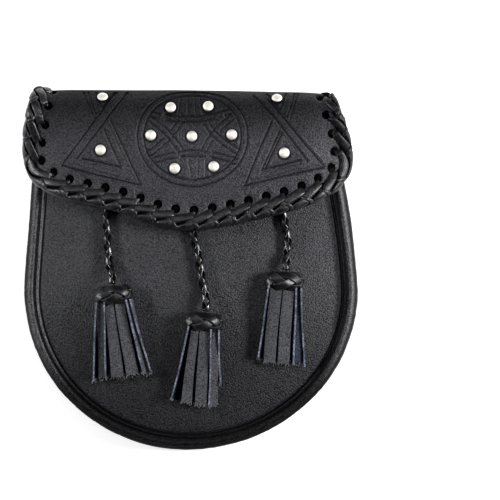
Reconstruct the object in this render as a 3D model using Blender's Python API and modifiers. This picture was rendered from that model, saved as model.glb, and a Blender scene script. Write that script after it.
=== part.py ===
"""A leather sporran pouch of day-wear size, lying on its back.

Metres. +Z points up and out of the pouch's front, +Y to its top and +X to the right as seen
from the front. The lower back and the belt loops rest on the plane Z = 0, and the origin is
on that plane under the middle of the pouch.
"""

import math

import bmesh
import bpy
import numpy as np
from mathutils import Matrix, Vector

# ------------------------------------------------------------------ driving dimensions
GAP = 0.0003  # left between pieces that touch
WELD = 0.00001  # points closer than this are one point

# Body, seen from the front
HALF_WIDTH = 0.0947  # middle line to the gusset's side, at the belly
BELLY_Y = -0.0127  # the widest place
LOWER_HEIGHT = 0.0906  # belly down to the gusset's bottom
MOUTH_Y = 0.0720  # top of the front panel and of the gusset
MOUTH_TAPER = 0.0094  # how much narrower each side is at the mouth
TAPER_POWER = 1.34
UPPER_SWAY = 0.49  # drift of the middle line to the left, per metre of height squared
LOWER_SWAY = 0.20
LOWER_SHARE = 0.62  # share of the outline's steps that the round bottom takes

# Leather
SHEET_THICKNESS = 0.0022  # back, roll and flap
FRONT_THICKNESS = 0.0020
GUSSET_THICKNESS = 0.0018
LOOP_THICKNESS = 0.0020

# Depth of the body
SEAM_Z = 0.0230  # front seam, all round
BELLY_CROWN = 0.0100  # rise of the front panel over its seam at the belly
FLAP_CROWN = 0.0062  # the same under the flap
CROWN_FALL = 0.0330  # height over which the one becomes the other
CROWN_POWER = 0.8
BACK_RISE = 0.0069  # the upper back's height over the ground, on its belt loops
RISE_START_Y = -0.0100
RISE_END_Y = 0.0300

# Front seam, as insets from the body's outline
FRONT_INSET = 0.0085
PIPING_INSET = 0.0071
PIPING_RADIUS = 0.00115
BACK_INSET = 0.0059

# Top roll and flap
ROLL_Y = 0.08465  # where the back ends and the roll starts
TOP_TILT = 0.0105  # the top edge drops by this share of X
FLAP_Z = 0.0369  # middle of the leather at the roll's front
FLAP_LIFT = 0.0019  # rise of the flap from there to its lower edge
LIFT_LENGTH = 0.0600
FLAP_BOW = (0.0008, 0.0034)  # drop at BOW_X from the middle, at the roll and lower down
BOW_X = 0.0800
LEFT_CURL = (0.0010, 0.0090)  # further drop of the left side's edge, likewise
RIGHT_CURL = (0.0045, 0.0100)
CURL_REACH = 0.0300  # how far in from the side the curl starts
CURL_POWER = 2.2
CURL_START_Y = 0.0920
CURL_GROWTH = 0.0350
FLAP_FOCUS = (-0.0020, 0.0640)  # where the flap's lines from its lower edge meet
ROLL_STEPS = 6

# Laced edge
LACE_PITCH = 0.0103
LACE_HOLE_INSET = 0.0090
LACE_HOLE_RADIUS = 0.0023
LOWEST_HOLE_X = 0.0021
LACING_THICKNESS = 0.0018
LACING_START = 2  # the lacing starts and ends this many steps up the roll

# Studs, tassels and hidden pieces
STUD_RADIUS = 0.00315
STUD_HEIGHT = 0.0018
POST_RADIUS = 0.0012
POST_HOLE_RADIUS = 0.0016
CORD_RADIUS = 0.00225
KNOT_HALF_WIDTH = 0.0112
KNOT_HALF_DEPTH = 0.0058
KNOT_HALF_HEIGHT = 0.0059
KNOT_TUBE = 0.155  # the knot's ring, as a share of its own radius
HEAD_HALF_WIDTH = 0.0072
HEAD_HALF_DEPTH = 0.0038
STRIPS_ACROSS = 6
STRIP_LAYERS = 2
STRIP_LENGTH = 0.0430
HEAD_FLATNESS = 0.85  # 1 would end the head's oval section in two points
CORD_STEPS = 14
CORD_STRAIGHT = 0.0050  # length of cord in line with its tassel
CORD_CLIMB = 0.0140  # length over which a cord rises to its tassel's head
ANCHOR_SIZE = (0.0084, 0.0070, 0.0042)
SNAP_RADIUS = 0.0060
SNAP_PLACE = (0.0009, 0.0500)
LOOP_WIDTH = 0.0200
LOOP_X = 0.0450

OUTLINE_STEPS = 44  # round the gusset, the piping and the panels
FLAP_SIDE_STEPS = 3
FLAP_LOWER_STEPS = 28

# Edge of the flap's leather, from the roll down its left side, round and up its right side
FLAP_EDGE = (  # x, y
    (-0.0894, 0.0856),
    (-0.0911, 0.0760),
    (-0.0915, 0.0660),
    (-0.0900, 0.0560),
    (-0.0866, 0.0505),
    (-0.0800, 0.0452),
    (-0.0700, 0.0410),
    (-0.0550, 0.0375),
    (-0.0380, 0.0332),
    (-0.0200, 0.0267),
    (-0.0030, 0.0233),
    (0.0150, 0.0250),
    (0.0420, 0.0308),
    (0.0640, 0.0370),
    (0.0780, 0.0440),
    (0.0845, 0.0505),
    (0.0876, 0.0560),
    (0.0882, 0.0640),
    (0.0872, 0.0720),
    (0.0857, 0.0780),
    (0.0840, 0.0838),
)

# Sides of the roll's leather as it turns from the back over the top to the front
ROLL_SIDES = (  # angle in degrees, left x, right x
    (0, -0.0816, 0.0723),
    (90, -0.0858, 0.0772),
    (180, -0.0894, 0.0840),
)

# Lines of equal distance from the edge, across the back, the roll and the flap
RINGS = (  # fixed distance, share of the way to the middle
    (0.0, 0.0),
    (0.0070, 0.0),
    (0.0110, 0.05),
    (0.0100, 0.18),
    (0.0070, 0.36),
    (0.0040, 0.58),
    (0.0, 1.0),
)

FRONT_RINGS = (1.0, 0.94, 0.82, 0.64, 0.42, 0.20, 0.0)  # share of the way out from the middle

# Section through the gusset, from the front seam round to the back
GUSSET_SECTION = (  # inset, distance from the front seam, distance from the back's outer face
    (0.0057, -0.0010, None),
    (0.0042, -0.0007, None),
    (0.0025, -0.0019, None),
    (0.0013, -0.0048, None),
    (0.0009, -0.0095, None),
    (0.0015, None, 0.0046),
    (0.0031, None, 0.0020),
    (0.0053, None, 0.0012),
)

# Section through the lacing, a channel round the flap's edge
LACING_SECTION = (  # inset, distance out of the leather's middle
    (0.0060, 0.0028),
    (0.0002, 0.0025),
    (-0.0015, 0.0015),
    (-0.0018, 0.0),
    (-0.0015, -0.0015),
    (0.0002, -0.0025),
    (0.0054, -0.0028),
)

STUD_SECTION = (  # radius, height over the leather
    (0.0, STUD_HEIGHT),
    (0.0017, 0.80 * STUD_HEIGHT),
    (0.0028, 0.34 * STUD_HEIGHT),
    (STUD_RADIUS, 0.0),
    (POST_RADIUS, 0.0),
    (POST_RADIUS, -SHEET_THICKNESS - 0.0010),
    (0.0, -SHEET_THICKNESS - 0.0010),
)

STUDS = (  # name, x and y of its place in the middle of the leather
    ("left_upper", -0.0493, 0.0952),
    ("left_triangle", -0.0502, 0.0660),
    ("ring_upper_left", -0.0110, 0.0895),
    ("ring_upper_right", 0.0100, 0.0901),
    ("ring_left", -0.0221, 0.0742),
    ("ring_centre", 0.0009, 0.0736),
    ("ring_right", 0.0232, 0.0745),
    ("ring_lower_left", -0.0087, 0.0556),
    ("ring_lower_right", 0.0131, 0.0567),
    ("right_upper", 0.0485, 0.0945),
    ("right_triangle", 0.0525, 0.0644),
)

TASSELS = (  # name, knot x, knot y, lean in degrees, half width of the strips' ends
    ("left", -0.0430, -0.0153, 5.0, 0.0170),
    ("middle", 0.0077, -0.0304, -7.0, 0.0140),
    ("right", 0.0530, -0.0075, -4.0, 0.0141),
)

# Sections down a tassel's strips, the upper layer of which hangs over the lower one
STRIP_SECTIONS = (  # share of length, share of spread, lower bottom and top, upper bottom and top
    (0.18, 0.30, 0.0022, 0.0042, 0.0062, 0.0084),
    (0.50, 0.66, 0.0003, 0.0020, 0.0030, 0.0047),
    (1.00, 1.00, 0.0003, 0.0017, 0.0022, 0.0036),
)

CORD_ROUTES = {  # x, y from the tab under the flap down to the knot
    "left": ((-0.0476, 0.0430), (-0.0475, 0.0350), (-0.0473, 0.0270), (-0.0468, 0.0162),
             (-0.0457, 0.0038)),
    "middle": ((-0.0008, 0.0330), (0.0000, 0.0260), (0.0016, 0.0184), (0.0046, 0.0061),
               (0.0068, -0.0079)),
    "right": ((0.0505, 0.0400), (0.0515, 0.0330), (0.0529, 0.0262), (0.0543, 0.0170),
              (0.0547, 0.0110)),
}

# Belt loop, seen from the side: it is sewn to the back at both ends
LOOP_SECTION = (  # y, height of its leather's middle over the ground
    (0.0330, BACK_RISE - GAP - LOOP_THICKNESS / 2),
    (0.0400, BACK_RISE - GAP - LOOP_THICKNESS / 2),
    (0.0450, LOOP_THICKNESS / 2),
    (0.0710, LOOP_THICKNESS / 2),
    (0.0760, BACK_RISE - GAP - LOOP_THICKNESS / 2),
    (0.0830, BACK_RISE - GAP - LOOP_THICKNESS / 2),
)

BLACK_LEATHER = (0.026, 0.026, 0.029)
GLOSSY_LACE = (0.016, 0.016, 0.018)
NICKEL = (0.72, 0.70, 0.64)


# ------------------------------------------------------------------ helpers
def smoothstep(value):
    value = min(max(value, 0.0), 1.0)
    return value * value * (3 - 2 * value)


def smooth_line(points, steps=12):
    """A Catmull-Rom curve through points, as an array with this many steps between two of them."""
    knots = np.array([points[0], *points, points[-1]], float)
    knots[0] = 2 * knots[1] - knots[2]
    knots[-1] = 2 * knots[-2] - knots[-3]
    line = []
    for before, start, end, after in zip(knots, knots[1:], knots[2:], knots[3:]):
        for step in range(steps):
            t = step / steps
            line.append(0.5 * (2 * start + (end - before) * t
                               + (2 * before - 5 * start + 4 * end - after) * t**2
                               + (3 * start - before - 3 * end + after) * t**3))
    return np.array([*line, knots[-2]])


def lengths_along(line):
    """Distance of each point of line from its start."""
    return np.concatenate([[0], np.cumsum(np.linalg.norm(np.diff(line, axis=0), axis=1))])


def point_at(line, length):
    """The point of line at this distance from its start."""
    along = lengths_along(line)
    return np.array([np.interp(length, along, column) for column in line.T])


def material(name, colour, roughness, metallic=0.0):
    made = bpy.data.materials.new(name)
    made.use_nodes = True
    shader = made.node_tree.nodes["Principled BSDF"]
    shader.inputs["Base Color"].default_value = (*colour, 1.0)
    shader.inputs["Roughness"].default_value = roughness
    shader.inputs["Metallic"].default_value = metallic
    return made


def add_piece(name, mesh, colour, roughness, metallic=0.0):
    """A visible object of the pouch, with a material of its own."""
    piece = bpy.data.objects.new(name, mesh)
    mesh.materials.append(material(name, colour, roughness, metallic))
    mesh.shade_smooth()
    mesh.set_sharp_from_angle(angle=math.radians(35))
    PARTS.objects.link(piece)
    piece.parent = MIDDLE
    return piece


def moved_grid(name, columns, rows, place):
    """A mesh grid whose corner (i, j) is moved to place(i, j). Corners that meet are welded."""
    mesh = bpy.data.meshes.new(name)
    form = bmesh.new()
    bmesh.ops.create_grid(form, x_segments=columns, y_segments=rows, size=0.5)
    for vertex in form.verts:
        column = round((vertex.co.x + 0.5) * columns)
        row = round((vertex.co.y + 0.5) * rows)
        vertex.co = place(column, row)
    bmesh.ops.remove_doubles(form, verts=form.verts, dist=WELD)
    bmesh.ops.recalc_face_normals(form, faces=form.faces)
    form.to_mesh(mesh)
    form.free()
    return mesh


def thicken(piece, thickness):
    """Makes a wall of the piece's open surface, which stays in the wall's middle."""
    wall = piece.modifiers.new("wall", "SOLIDIFY")
    wall.thickness = thickness
    wall.offset = 0
    wall.use_even_offset = True
    return piece


# ------------------------------------------------------------------ form of the body
def sway(y):
    """The middle line's drift to the left at this height."""
    rate = UPPER_SWAY if y > BELLY_Y else LOWER_SWAY
    return -rate * (y - BELLY_Y) ** 2


def half_width(y, inset):
    """Half the body's width from the belly up."""
    climb = max(y - BELLY_Y, 0) / (MOUTH_Y - BELLY_Y)
    return HALF_WIDTH - inset - MOUTH_TAPER * climb**TAPER_POWER


def outline_point(turn, inset, share=1.0, top=MOUTH_Y):
    """A point of the body's U-shaped outline, or of that U shrunk to a share of its width.

    turn runs from -1 at the left end of the U round the bottom to 1 at its right end.
    """
    if abs(turn) <= LOWER_SHARE:
        angle = turn / LOWER_SHARE * math.pi / 2
        y = BELLY_Y - share * (LOWER_HEIGHT - inset) * math.cos(angle)
        return sway(y) + share * (HALF_WIDTH - inset) * math.sin(angle), y
    climb = (abs(turn) - LOWER_SHARE) / (1 - LOWER_SHARE)
    y = BELLY_Y + climb * (top - BELLY_Y)
    return sway(y) + math.copysign(share * half_width(y, inset), turn), y


def outline_turn(step):
    return 2 * step / OUTLINE_STEPS - 1


def front_height(x, y):
    """Height of the front panel's outer face."""
    across = (x - sway(y)) / half_width(y, FRONT_INSET)
    down = max(BELLY_Y - y, 0) / (LOWER_HEIGHT - FRONT_INSET)
    spread = min(across**2 + down**2, 1.0)
    settle = smoothstep((y - BELLY_Y) / CROWN_FALL)
    crown = BELLY_CROWN + (FLAP_CROWN - BELLY_CROWN) * settle
    return SEAM_Z + crown * (1 - spread) ** CROWN_POWER


def back_height(y):
    """Height of the back's outer face."""
    return BACK_RISE * smoothstep((y - RISE_START_Y) / (RISE_END_Y - RISE_START_Y))


# ------------------------------------------------------------------ form of the flap
def flap_height(x, y):
    """Height of the flap's leather, which bows across and curls down along both sides."""
    growth = smoothstep((CURL_START_Y - y) / CURL_GROWTH)
    height = FLAP_Z + FLAP_LIFT * (ROLL_Y - y) / LIFT_LENGTH
    height -= (FLAP_BOW[0] + (FLAP_BOW[1] - FLAP_BOW[0]) * growth) * (x / BOW_X) ** 2
    left_side = min(edge_x for edge_x, _ in FLAP_EDGE)
    right_side = max(edge_x for edge_x, _ in FLAP_EDGE)
    for curl, distance in ((LEFT_CURL, x - left_side), (RIGHT_CURL, right_side - x)):
        bend = max(1 - distance / CURL_REACH, 0) ** CURL_POWER
        height -= (curl[0] + (curl[1] - curl[0]) * growth) * bend
    return height


def roll_y(x):
    """Where the roll starts, which is higher at the left than at the right."""
    return ROLL_Y - TOP_TILT * x


def roll_radius(x):
    return (flap_height(x, roll_y(x)) - back_height(ROLL_Y) - SHEET_THICKNESS / 2) / 2


def roll_point(x, angle):
    """A point of the roll's leather. angle is 0 at the back and pi at the front."""
    radius = roll_radius(x)
    middle_z = back_height(ROLL_Y) + SHEET_THICKNESS / 2 + radius
    return Vector((x, roll_y(x) + radius * math.sin(angle), middle_z - radius * math.cos(angle)))


def flap_surface(x, y):
    """(point, outward direction) of the flap's or the roll's leather over x, y."""
    def point(px, py):
        rise = py - roll_y(px)
        if rise <= 0:
            return Vector((px, py, flap_height(px, py)))
        return roll_point(px, math.pi - math.asin(min(rise / roll_radius(px), 1.0)))

    nudge = 0.0005
    across = point(x + nudge, y) - point(x - nudge, y)
    upwards = point(x, y + nudge) - point(x, y - nudge)
    return point(x, y), across.cross(upwards).normalized()


def ring_share(ring, reach):
    """How far along the line from the edge to the middle this ring is, from 0 to 1."""
    fixed, share = RINGS[ring]
    return fixed / reach + share


def back_line(turn):
    """Points of the back from its edge to its middle."""
    edge = np.array(outline_point(turn, BACK_INSET, top=ROLL_Y))
    middle = np.array(outline_point(turn, BACK_INSET, share=0.0, top=ROLL_Y))
    reach = np.linalg.norm(edge - middle)
    climb = max(abs(turn) - LOWER_SHARE, 0) / (1 - LOWER_SHARE)
    line = []
    for ring in range(len(RINGS)):
        x, y = edge + (middle - edge) * ring_share(ring, reach)
        y -= TOP_TILT * x * climb
        line.append(Vector((x, y, back_height(y) + SHEET_THICKNESS / 2)))
    return line


def roll_line(angle, side):
    """Points of the roll from its left (side -1) or right (side 1) edge to its middle."""
    degrees, left, right = zip(*ROLL_SIDES)
    left_x, right_x = (float(np.interp(math.degrees(angle), degrees, row)) for row in (left, right))
    middle_x = (left_x + right_x) / 2
    edge_x = left_x if side < 0 else right_x
    reach = abs(edge_x - middle_x)
    return [roll_point(edge_x + (middle_x - edge_x) * ring_share(ring, reach), angle)
            for ring in range(len(RINGS))]


def flap_line(edge, middle):
    """Points of the flap from a point of its edge to its middle line."""
    reach = np.linalg.norm(edge - middle)
    line = []
    for ring in range(len(RINGS)):
        x, y = edge + (middle - edge) * ring_share(ring, reach)
        line.append(Vector((x, y, flap_height(x, y))))
    return line


def flap_lines():
    """Lines from the flap's edge to its middle, from the left top round to the right top."""
    edge = smooth_line(FLAP_EDGE)
    along = lengths_along(edge)
    half = int(np.argmin(edge[:, 1]))
    focus = np.array(FLAP_FOCUS)

    def side(share, rows):
        """The line at this share of the way from the roll down to the focus."""
        middle_x = (edge[0, 0] + edge[-1, 0]) / 2 * (1 - share) + focus[0] * share
        middle = np.array((middle_x, roll_y(middle_x) + (focus[1] - roll_y(middle_x)) * share))
        top_y, low_y = rows[0, 1], focus[1]
        y = top_y + (low_y - top_y) * share
        order = np.argsort(rows[:, 1])
        return np.array((np.interp(y, rows[order, 1], rows[order, 0]), y)), middle

    shares = [step / FLAP_SIDE_STEPS for step in range(FLAP_SIDE_STEPS + 1)]
    left = [side(share, edge[:half]) for share in shares]
    right = [side(share, edge[:half:-1]) for share in shares]
    start = np.interp(-left[-1][0][1], -edge[:half, 1], along[:half])
    end = np.interp(right[-1][0][1], edge[half:, 1], along[half:])
    lower = [(point_at(edge, start + (end - start) * step / FLAP_LOWER_STEPS), focus)
             for step in range(1, FLAP_LOWER_STEPS)]
    return [flap_line(*pair) for pair in (*left, *lower, *reversed(right))]


def sheet_lines():
    """Lines from the sheet's edge to its middle, once round, and the range of the laced ones."""
    angles = [math.pi * step / ROLL_STEPS for step in range(1, ROLL_STEPS)]
    left_roll = [roll_line(angle, -1) for angle in angles]
    right_roll = [roll_line(angle, 1) for angle in reversed(angles)]
    back = [back_line(-outline_turn(step)) for step in range(OUTLINE_STEPS + 1)]
    lines = [*left_roll, *flap_lines(), *right_roll]
    laced = range(LACING_START - 1, len(lines) - LACING_START + 1)
    return [*lines, *back], laced


def edge_frames(lines):
    """(edge point, direction inwards, direction out of the leather) for each of these lines."""
    frames = []
    for number, line in enumerate(lines):
        before = lines[max(number - 1, 0)][0]
        after = lines[min(number + 1, len(lines) - 1)][0]
        along = (after - before).normalized()
        inwards = line[1] - line[0]
        inwards = (inwards - along * inwards.dot(along)).normalized()
        frames.append((line[0], inwards, along.cross(inwards).normalized()))
    return frames


# ------------------------------------------------------------------ pieces
def hole_cutters(lines):
    """Cylinders for the lace holes and for the stud posts, in one helper object."""
    mesh = bpy.data.meshes.new("hole_cutters")
    form = bmesh.new()

    def cut(point, direction, radius):
        turn = direction.to_track_quat("Z", "X").to_matrix().to_4x4()
        bmesh.ops.create_cone(form, cap_ends=True, segments=8, radius1=radius, radius2=radius,
                              depth=4 * SHEET_THICKNESS, matrix=Matrix.Translation(point) @ turn)

    frames = edge_frames(lines)
    holes = np.array([point + inwards * LACE_HOLE_INSET for point, inwards, _ in frames])
    along = lengths_along(holes)
    lowest = int(np.argmin(holes[:, 1]))
    middle = along[lowest] + LOWEST_HOLE_X - holes[lowest, 0]
    first = math.ceil((2 * LACE_HOLE_RADIUS - middle) / LACE_PITCH)
    last = math.floor((along[-1] - 2 * LACE_HOLE_RADIUS - middle) / LACE_PITCH)
    for number in range(first, last + 1):
        length = middle + number * LACE_PITCH
        nearest = int(np.argmin(abs(along - length)))
        cut(Vector(point_at(holes, length)), frames[nearest][2], LACE_HOLE_RADIUS)
    for _, x, y in STUDS:
        cut(*flap_surface(x, y), POST_HOLE_RADIUS)
    form.to_mesh(mesh)
    form.free()
    cutters = bpy.data.objects.new("hole_cutters", mesh)
    cutters.hide_render = True
    cutters.display_type = "WIRE"
    HELPERS.objects.link(cutters)
    return cutters


def make_back_and_flap(lines, laced):
    """One sheet: the back, the roll over the top and the flap, with its holes."""
    count = len(lines)
    mesh = moved_grid("back_and_flap", count, len(RINGS) - 1, lambda i, j: lines[i % count][j])
    sheet = thicken(add_piece("back_and_flap", mesh, BLACK_LEATHER, 0.5), SHEET_THICKNESS)
    holes = sheet.modifiers.new("holes", "BOOLEAN")
    holes.object = hole_cutters([lines[number] for number in laced])


def make_front_panel():
    def place(column, row):
        x, y = outline_point(outline_turn(column), FRONT_INSET, share=FRONT_RINGS[row])
        return x, y, front_height(x, y) - FRONT_THICKNESS / 2

    mesh = moved_grid("front_panel", OUTLINE_STEPS, len(FRONT_RINGS) - 1, place)
    thicken(add_piece("front_panel", mesh, BLACK_LEATHER, 0.5), FRONT_THICKNESS)


def make_gusset():
    def place(column, row):
        inset, from_seam, from_back = GUSSET_SECTION[row]
        x, y = outline_point(outline_turn(column), inset)
        return x, y, SEAM_Z + from_seam if from_back is None else back_height(y) + from_back

    mesh = moved_grid("gusset", OUTLINE_STEPS, len(GUSSET_SECTION) - 1, place)
    thicken(add_piece("gusset", mesh, BLACK_LEATHER, 0.45), GUSSET_THICKNESS)


def tube(name, points, radius, sides_level, colour, roughness):
    """A tube with closed ends through points."""
    curve = bpy.data.curves.new(name, "CURVE")
    curve.dimensions = "3D"
    curve.bevel_depth = radius
    curve.bevel_resolution = sides_level
    curve.use_fill_caps = True
    spline = curve.splines.new("POLY")
    spline.points.add(len(points) - 1)
    for target, point in zip(spline.points, points):
        target.co = (*point, 1.0)
    piece = bpy.data.objects.new(name, curve)
    curve.materials.append(material(name, colour, roughness))
    PARTS.objects.link(piece)
    piece.parent = MIDDLE


def make_piping():
    points = [(*outline_point(outline_turn(step), PIPING_INSET), SEAM_Z + 0.0004)
              for step in range(OUTLINE_STEPS + 1)]
    tube("piping", points, PIPING_RADIUS, 1, GLOSSY_LACE, 0.3)


def make_edge_lacing(lines):
    """A channel that the plaited lace fills, round the flap's free edge."""
    frames = edge_frames(lines)

    def place(column, row):
        edge, inwards, out = frames[column]
        inset, rise = LACING_SECTION[row]
        return edge + inwards * inset + out * rise

    mesh = moved_grid("edge_lacing", len(frames) - 1, len(LACING_SECTION) - 1, place)
    thicken(add_piece("edge_lacing", mesh, GLOSSY_LACE, 0.3), LACING_THICKNESS)


def make_studs():
    """Domed heads on the flap, each with its post through the leather."""
    for name, x, y in STUDS:
        mesh = bpy.data.meshes.new(f"stud_{name}")
        count = len(STUD_SECTION)
        mesh.from_pydata([(radius, 0, height) for radius, height in STUD_SECTION],
                         [(corner, corner + 1) for corner in range(count - 1)], [])
        stud = add_piece(f"stud_{name}", mesh, NICKEL, 0.25, 1.0)
        turned = stud.modifiers.new("turned", "SCREW")
        turned.steps = turned.render_steps = 10
        turned.use_merge_vertices = True
        turned.merge_threshold = WELD
        turned.use_smooth_shade = True
        point, out = flap_surface(x, y)
        stud.location = point + out * (SHEET_THICKNESS / 2 + GAP)
        stud.rotation_mode = "QUATERNION"
        stud.rotation_quaternion = out.to_track_quat("Z", "Y")


def laid(x, y, height):
    """A point at this height over the front panel's outer face."""
    return Vector((x, y, front_height(x, y) + height))


def tassel_point(tassel, across, down, height):
    """A point of a tassel, measured from its knot's middle across and down the lean of it."""
    _, knot_x, knot_y, lean, _ = tassel
    angle = math.radians(lean)
    x = knot_x + across * math.cos(angle) + down * math.sin(angle)
    y = knot_y + across * math.sin(angle) - down * math.cos(angle)
    return laid(x, y, height)


def make_knot(tassel):
    """A flattened ring round the tassel's head."""
    major_x = KNOT_HALF_WIDTH / (1 + KNOT_TUBE)
    major_z = KNOT_HALF_DEPTH / (1 + KNOT_TUBE)
    bpy.ops.mesh.primitive_torus_add(major_segments=14, minor_segments=8, major_radius=1.0,
                                     minor_radius=KNOT_TUBE)
    torus = bpy.context.active_object
    mesh = torus.data
    bpy.data.objects.remove(torus)
    for vertex in mesh.vertices:
        x, z, y = vertex.co
        vertex.co = tassel_point(tassel, x * major_x, y / KNOT_TUBE * KNOT_HALF_HEIGHT,
                                 KNOT_HALF_DEPTH + GAP + z * major_z)
    mesh.name = f"tassel_knot_{tassel[0]}"
    form = bmesh.new()
    form.from_mesh(mesh)
    bmesh.ops.recalc_face_normals(form, faces=form.faces)
    form.to_mesh(mesh)
    form.free()
    add_piece(mesh.name, mesh, GLOSSY_LACE, 0.3)


def make_strips(tassel):
    """The tassel's head with its strips, which fan out and lie down on the front panel."""
    name, ends_half_width = tassel[0], tassel[4]
    mesh = bpy.data.meshes.new(f"tassel_strips_{name}")
    form = bmesh.new()
    bmesh.ops.create_grid(form, x_segments=STRIPS_ACROSS, y_segments=STRIP_LAYERS, size=1.0)
    cells = {}
    for face in form.faces:
        middle = face.calc_center_median()
        column = int((middle.x + 1) / 2 * STRIPS_ACROSS)
        cells[column, int((middle.y + 1) / 2 * STRIP_LAYERS)] = face
    # The points are (across, down, height) until the last step lays them on the front panel.
    for vertex in form.verts:
        x, layer, _ = vertex.co
        depth = HEAD_HALF_DEPTH * math.sqrt(1 - HEAD_FLATNESS * x * x)
        vertex.co = (x * HEAD_HALF_WIDTH, KNOT_HALF_HEIGHT, KNOT_HALF_DEPTH + GAP + layer * depth)
    top = bmesh.ops.extrude_face_region(form, geom=list(cells.values()), use_keep_orig=True)
    for vertex in (item for item in top["geom"] if isinstance(item, bmesh.types.BMVert)):
        vertex.co.y = -KNOT_HALF_HEIGHT
    for (column, layer), cell in cells.items():
        bmesh.ops.inset_individual(form, faces=[cell], thickness=GAP)
        for share, spread, *heights in STRIP_SECTIONS:
            cell = bmesh.ops.extrude_discrete_faces(form, faces=[cell])["faces"][0]
            middle = cell.calc_center_median()
            pitch = 2 / STRIPS_ACROSS * (
                HEAD_HALF_WIDTH + (ends_half_width - HEAD_HALF_WIDTH) * spread)
            for vertex in cell.verts:
                side = math.copysign(0.5 - GAP / pitch, vertex.co.x - middle.x)
                upper = vertex.co.z > middle.z
                vertex.co = ((column - (STRIPS_ACROSS - 1) / 2 + side) * pitch,
                             KNOT_HALF_HEIGHT + share * STRIP_LENGTH, heights[2 * layer + upper])
    for vertex in form.verts:
        vertex.co = tassel_point(tassel, *vertex.co)
    bmesh.ops.recalc_face_normals(form, faces=form.faces)
    form.to_mesh(mesh)
    form.free()
    add_piece(mesh.name, mesh, BLACK_LEATHER, 0.5)


def make_cord(tassel):
    """A braided cord from its tab under the flap to the head of its tassel."""
    ends = [tassel_point(tassel, 0, -KNOT_HALF_HEIGHT - distance, 0)
            for distance in (CORD_STRAIGHT, 2 * GAP)]
    line = smooth_line([*CORD_ROUTES[tassel[0]], *((end.x, end.y) for end in ends)])
    length = lengths_along(line)[-1]
    points = []
    for step in range(CORD_STEPS + 1):
        x, y = point_at(line, length * step / CORD_STEPS)
        climb = smoothstep(1 - length * (1 - step / CORD_STEPS) / CORD_CLIMB)
        low = CORD_RADIUS + GAP
        points.append(laid(x, y, low + (KNOT_HALF_DEPTH + GAP - low) * climb))
    tube(f"tassel_cord_{tassel[0]}", points, CORD_RADIUS, 2, GLOSSY_LACE, 0.3)


def make_cord_anchor(tassel):
    """The hidden tab of folded leather that a cord comes out of."""
    name = f"cord_anchor_{tassel[0]}"
    bpy.ops.mesh.primitive_cube_add(size=1.0)
    cube = bpy.context.active_object
    mesh = cube.data
    bpy.data.objects.remove(cube)
    mesh.name = name
    width, depth, height = ANCHOR_SIZE
    start_x, start_y = CORD_ROUTES[tassel[0]][0]
    for vertex in mesh.vertices:
        x, y, z = vertex.co
        vertex.co = laid(start_x + x * width, start_y + 2 * GAP + (y + 0.5) * depth,
                         GAP + (z + 0.5) * height)
    tab = add_piece(name, mesh, BLACK_LEATHER, 0.5)
    rounded = tab.modifiers.new("rounded", "BEVEL")
    rounded.width = 0.0006


def make_flap_snap():
    """The hidden closure between the front panel and the flap."""
    x, y = SNAP_PLACE
    low = front_height(x, y) + GAP
    high = flap_height(x, y) - SHEET_THICKNESS / 2 - GAP
    bpy.ops.mesh.primitive_cylinder_add(vertices=16, radius=SNAP_RADIUS, depth=high - low)
    cylinder = bpy.context.active_object
    mesh = cylinder.data
    bpy.data.objects.remove(cylinder)
    mesh.name = "flap_snap"
    add_piece(mesh.name, mesh, NICKEL, 0.3, 1.0).location = (x, y, (low + high) / 2)


def make_belt_loops():
    """Leather loops sewn to the back at both ends, which a belt or strap passes through."""
    def place(column, row):
        y, height = LOOP_SECTION[row]
        return (column - 0.5) * LOOP_WIDTH, y, height

    for name, x in (("left", -LOOP_X), ("right", LOOP_X)):
        mesh = moved_grid(f"belt_loop_{name}", 1, len(LOOP_SECTION) - 1, place)
        loop = thicken(add_piece(mesh.name, mesh, BLACK_LEATHER, 0.5), LOOP_THICKNESS)
        loop.location.x = x


# ------------------------------------------------------------------ the pouch
for leftover in list(bpy.data.objects):
    bpy.data.objects.remove(leftover)

PARTS = bpy.data.collections.new("sporran_pouch")
HELPERS = bpy.data.collections.new("helpers")
MIDDLE = bpy.data.objects.new("sporran_pouch", None)
for collection in (PARTS, HELPERS):
    bpy.context.scene.collection.children.link(collection)
PARTS.objects.link(MIDDLE)

all_lines, laced_range = sheet_lines()
make_back_and_flap(all_lines, laced_range)
make_front_panel()
make_gusset()
make_piping()
make_edge_lacing([all_lines[number] for number in laced_range])
make_studs()
for one_tassel in TASSELS:
    make_cord_anchor(one_tassel)
    make_cord(one_tassel)
    make_knot(one_tassel)
    make_strips(one_tassel)
make_flap_snap()
make_belt_loops()
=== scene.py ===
"""A black leather sporran pouch lying on its back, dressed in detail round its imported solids.

Metres throughout. +Z points up and out of the pouch's front and +Y to its folded top.
"""

import math
from contextlib import contextmanager

import bmesh
import bpy
import numpy as np
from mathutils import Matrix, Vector, noise


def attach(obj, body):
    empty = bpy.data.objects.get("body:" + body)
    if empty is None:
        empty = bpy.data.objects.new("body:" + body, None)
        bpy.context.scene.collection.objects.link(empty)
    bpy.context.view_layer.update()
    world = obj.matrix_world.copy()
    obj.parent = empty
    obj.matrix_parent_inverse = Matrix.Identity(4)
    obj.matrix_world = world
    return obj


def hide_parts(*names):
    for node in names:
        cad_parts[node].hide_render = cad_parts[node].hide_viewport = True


MM = 0.001

# -------- the pouch's form, as in its solids
HALF_WIDTH = 0.0947
BELLY_Y = -0.0127
LOWER_HEIGHT = 0.0906
MOUTH_Y = 0.0720
MOUTH_TAPER = 0.0094
TAPER_POWER = 1.34
UPPER_SWAY = 0.49
LOWER_SWAY = 0.20
LOWER_SHARE = 0.62

SHEET_THICKNESS = 0.0022
FRONT_THICKNESS = 0.0020
GUSSET_THICKNESS = 0.0018
LOOP_THICKNESS = 0.0020
GAP = 0.0003

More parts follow.
